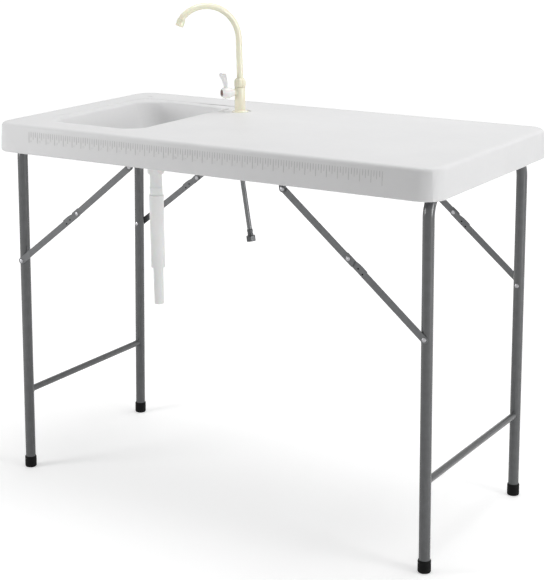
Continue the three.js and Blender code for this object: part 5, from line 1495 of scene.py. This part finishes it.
@dataclass
class Drain:
    """Drain fitting, strainer, nut, coupling and telescoping pipe."""

    x: float = -0.321
    y: float = 0.0
    floor_z: float = 0.797
    dish: float = 0.010
    boss_z: float = 0.752
    tail_below: float = 0.067
    tail_end: float = 0.020
    tail_radius: float = 0.0156
    tail_end_radius: float = 0.014
    tail_bore: float = 0.0126
    flange_radius: float = 0.027
    slope_rise: float = 0.00194757
    nut_radius: float = 0.0205
    nut_height: float = 0.0147
    nut_grips: int = 12
    grip_depth: float = 0.0009
    coupling_radius: float = 0.0164
    coupling_height: float = 0.020
    bead_height: float = 0.0004
    sleeve_top: float = 0.0184
    sleeve_foot: float = 0.0176
    sleeve_length: float = 0.183
    sleeve_bore: float = 0.0146
    pipe_radius: float = 0.0128
    pipe_tip: float = 0.012
    pipe_shown: float = 0.094
    pipe_hidden: float = 0.080
    pipe_wall: float = 0.0018
    lean: float = math.radians(0.7)
    gap: float = 0.0003

    def fitting(self) -> Surface:
        """Flange in the bowl and the tail below the boss, with moulded rings for its thread."""
        flange = self.floor_z - self.dish + self.gap
        tail = self.boss_z - self.tail_below
        step, edge = tail + self.tail_end, flange + self.slope_rise
        r, end, bore, rim = self.tail_radius, self.tail_end_radius, self.tail_bore, self.flange_radius
        rings = thread(r, 0.0006, step + 0.001, 0.0013)
        profile = [
            (end, tail), (end, step), (r, step), *rings, (r, flange), (r + 0.0013, flange + self.gap),
            (rim, edge + self.gap), (rim, edge + 0.0018), (rim - 0.0012, edge + 0.0024),
            (bore, edge + 0.0022), (bore, tail),
        ]
        return shell("drain_flange_and_tail", profile, sides=64, edge=0.0004, place=at((self.x, self.y, 0)))

    def nut(self) -> Surface:
        """Clamping nut with soft grips: r(a, z) = R(z) - d f(z) (1 - |sin(n a / 2)|) for n grips."""
        top = self.boss_z - self.gap
        foot = top - self.nut_height
        share = np.array([0, 0.04, 0.12, 0.5, 0.88, 0.96, 1])
        fade = np.array([0.6, 0.3, 1, 1, 1, 0.3, 0.6])[:, None]
        outer = self.nut_radius - np.array([1.2, 0.5, 0.1, 0, 0.1, 0.5, 1.2])[:, None] * MM
        grip = 1 - np.abs(np.sin(self.nut_grips / 2 * around(144)))
        radius = outer - self.grip_depth * fade * grip
        radius = np.vstack([radius, np.full((2, 144), self.tail_radius + self.gap)])
        height = np.concatenate([foot + share * self.nut_height, [top, foot]])
        return ring_solid("drain_grip_nut", radius, height, sides=144, place=at((self.x, self.y, 0)))

    @property
    def hang(self) -> Matrix:
        """Matrix of the pipe's own axes: it hangs from the fitting's step, a little out of plumb."""
        z = self.boss_z - self.tail_below + self.tail_end
        return at((self.x, self.y, z), -self.lean, "Y")

    def coupling(self) -> Surface:
        """Coupling with a raised bead near each end."""
        top, r = -3 * self.gap, self.coupling_radius
        foot = top - self.coupling_height
        z = np.linspace(foot + 0.0006, top - 0.0004, 29)
        share = (z - foot) / self.coupling_height
        bead = self.bead_height * (bump(share, 0.14, 0.06) + bump(share, 0.86, 0.06))
        bore = self.tail_end_radius + 0.0008
        outer = zip(r - 0.0004 + bead, z)
        profile = [(r - 0.001, foot), *outer, (r - 0.0009, top), (bore, top), (bore, foot)]
        return shell("drain_pipe_coupling", profile, sides=64, edge=0.0003, place=self.hang)

    def sleeve(self) -> Surface:
        """Wide sleeve that narrows slowly to its foot, with a soft bead at either end."""
        top = -4 * self.gap - self.coupling_height
        wide, narrow, bore = self.sleeve_top, self.sleeve_foot, self.sleeve_bore
        foot = top - self.sleeve_length
        profile = [
            (narrow - 0.0004, foot), (narrow, foot + 0.0006), (narrow, foot + 0.005),
            (narrow - 0.0003, foot + 0.0062), (wide - 0.0003, top - 0.0075), (wide, top - 0.0062),
            (wide, top - 0.001), (wide - 0.001, top), (bore, top), (bore, foot),
        ]
        return shell("drain_wide_sleeve", profile, sides=64, edge=0.0006, place=self.hang)

    def pipe(self) -> Surface:
        """Inner pipe that slides in the sleeve, open below, with a bead above its end."""
        mouth = -4 * self.gap - self.coupling_height - self.sleeve_length
        top, foot = mouth + self.pipe_hidden, mouth - self.pipe_shown
        tip, r, wall, guide = self.pipe_tip, self.pipe_radius, self.pipe_wall, self.sleeve_bore - 0.0005
        profile = [
            (tip - 0.0006, foot), (tip, foot + 0.0008), (tip, foot + 0.0036), (tip + 0.0006, foot + 0.0046),
            (tip + 0.0006, foot + 0.0054), (tip, foot + 0.0064), (r, mouth), (r, top - 0.010),
            (guide, top - 0.008), (guide, top), (r - wall, top), (r - wall, mouth), (tip - wall, foot),
        ]
        return shell("drain_sliding_pipe", profile, sides=64, edge=0.0005, place=self.hang)

    def build(self) -> None:
        """Makes and dresses the drain."""
        for piece, body, node in (
            (self.fitting(), "top", "drain_fitting"),
            (self.nut(), "top", "drain_nut"),
            (self.coupling(), "top", "drain_coupling"),
            (self.sleeve(), "top", "drain_sleeve"),
            (self.pipe(), "drain_pipe", "drain_pipe"),
        ):
            dress(piece.build(), MILKY, body, [node])
        strainer = cad_copy("strainer", "slotted_strainer", edge=0.0004)
        dress(strainer, NICKEL, "top", ["strainer"])


def main() -> None:
    """Builds the scene: studio and hose first, then the table from its top down."""
    logging.basicConfig(level=logging.INFO, format="%(name)s: %(message)s")
    bpy.context.scene.view_settings.view_transform = "Standard"
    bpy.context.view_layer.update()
    studio = Studio()
    studio.camera()
    studio.lamps()
    studio.floor()
    SupplyHose().build()
    TableTop().build()
    LegAssembly(
        Side.LEFT, pivot_x=0.542, pivot_z=0.8445, spread=0.234, rivet_z=0.5397, lower_length=0.2258,
        upper_length=0.202, lower_slope=math.radians(37.84), upper_slope=math.radians(38.85),
    ).build()
    LegAssembly(
        Side.RIGHT, pivot_x=0.528, pivot_z=0.826, spread=0.244, rivet_z=0.521, lower_length=0.2313,
        upper_length=0.206, lower_slope=math.radians(39.95), upper_slope=math.radians(39.64),
    ).build()
    Tap().build()
    Drain().build()


if __name__ == "__main__":
    main()
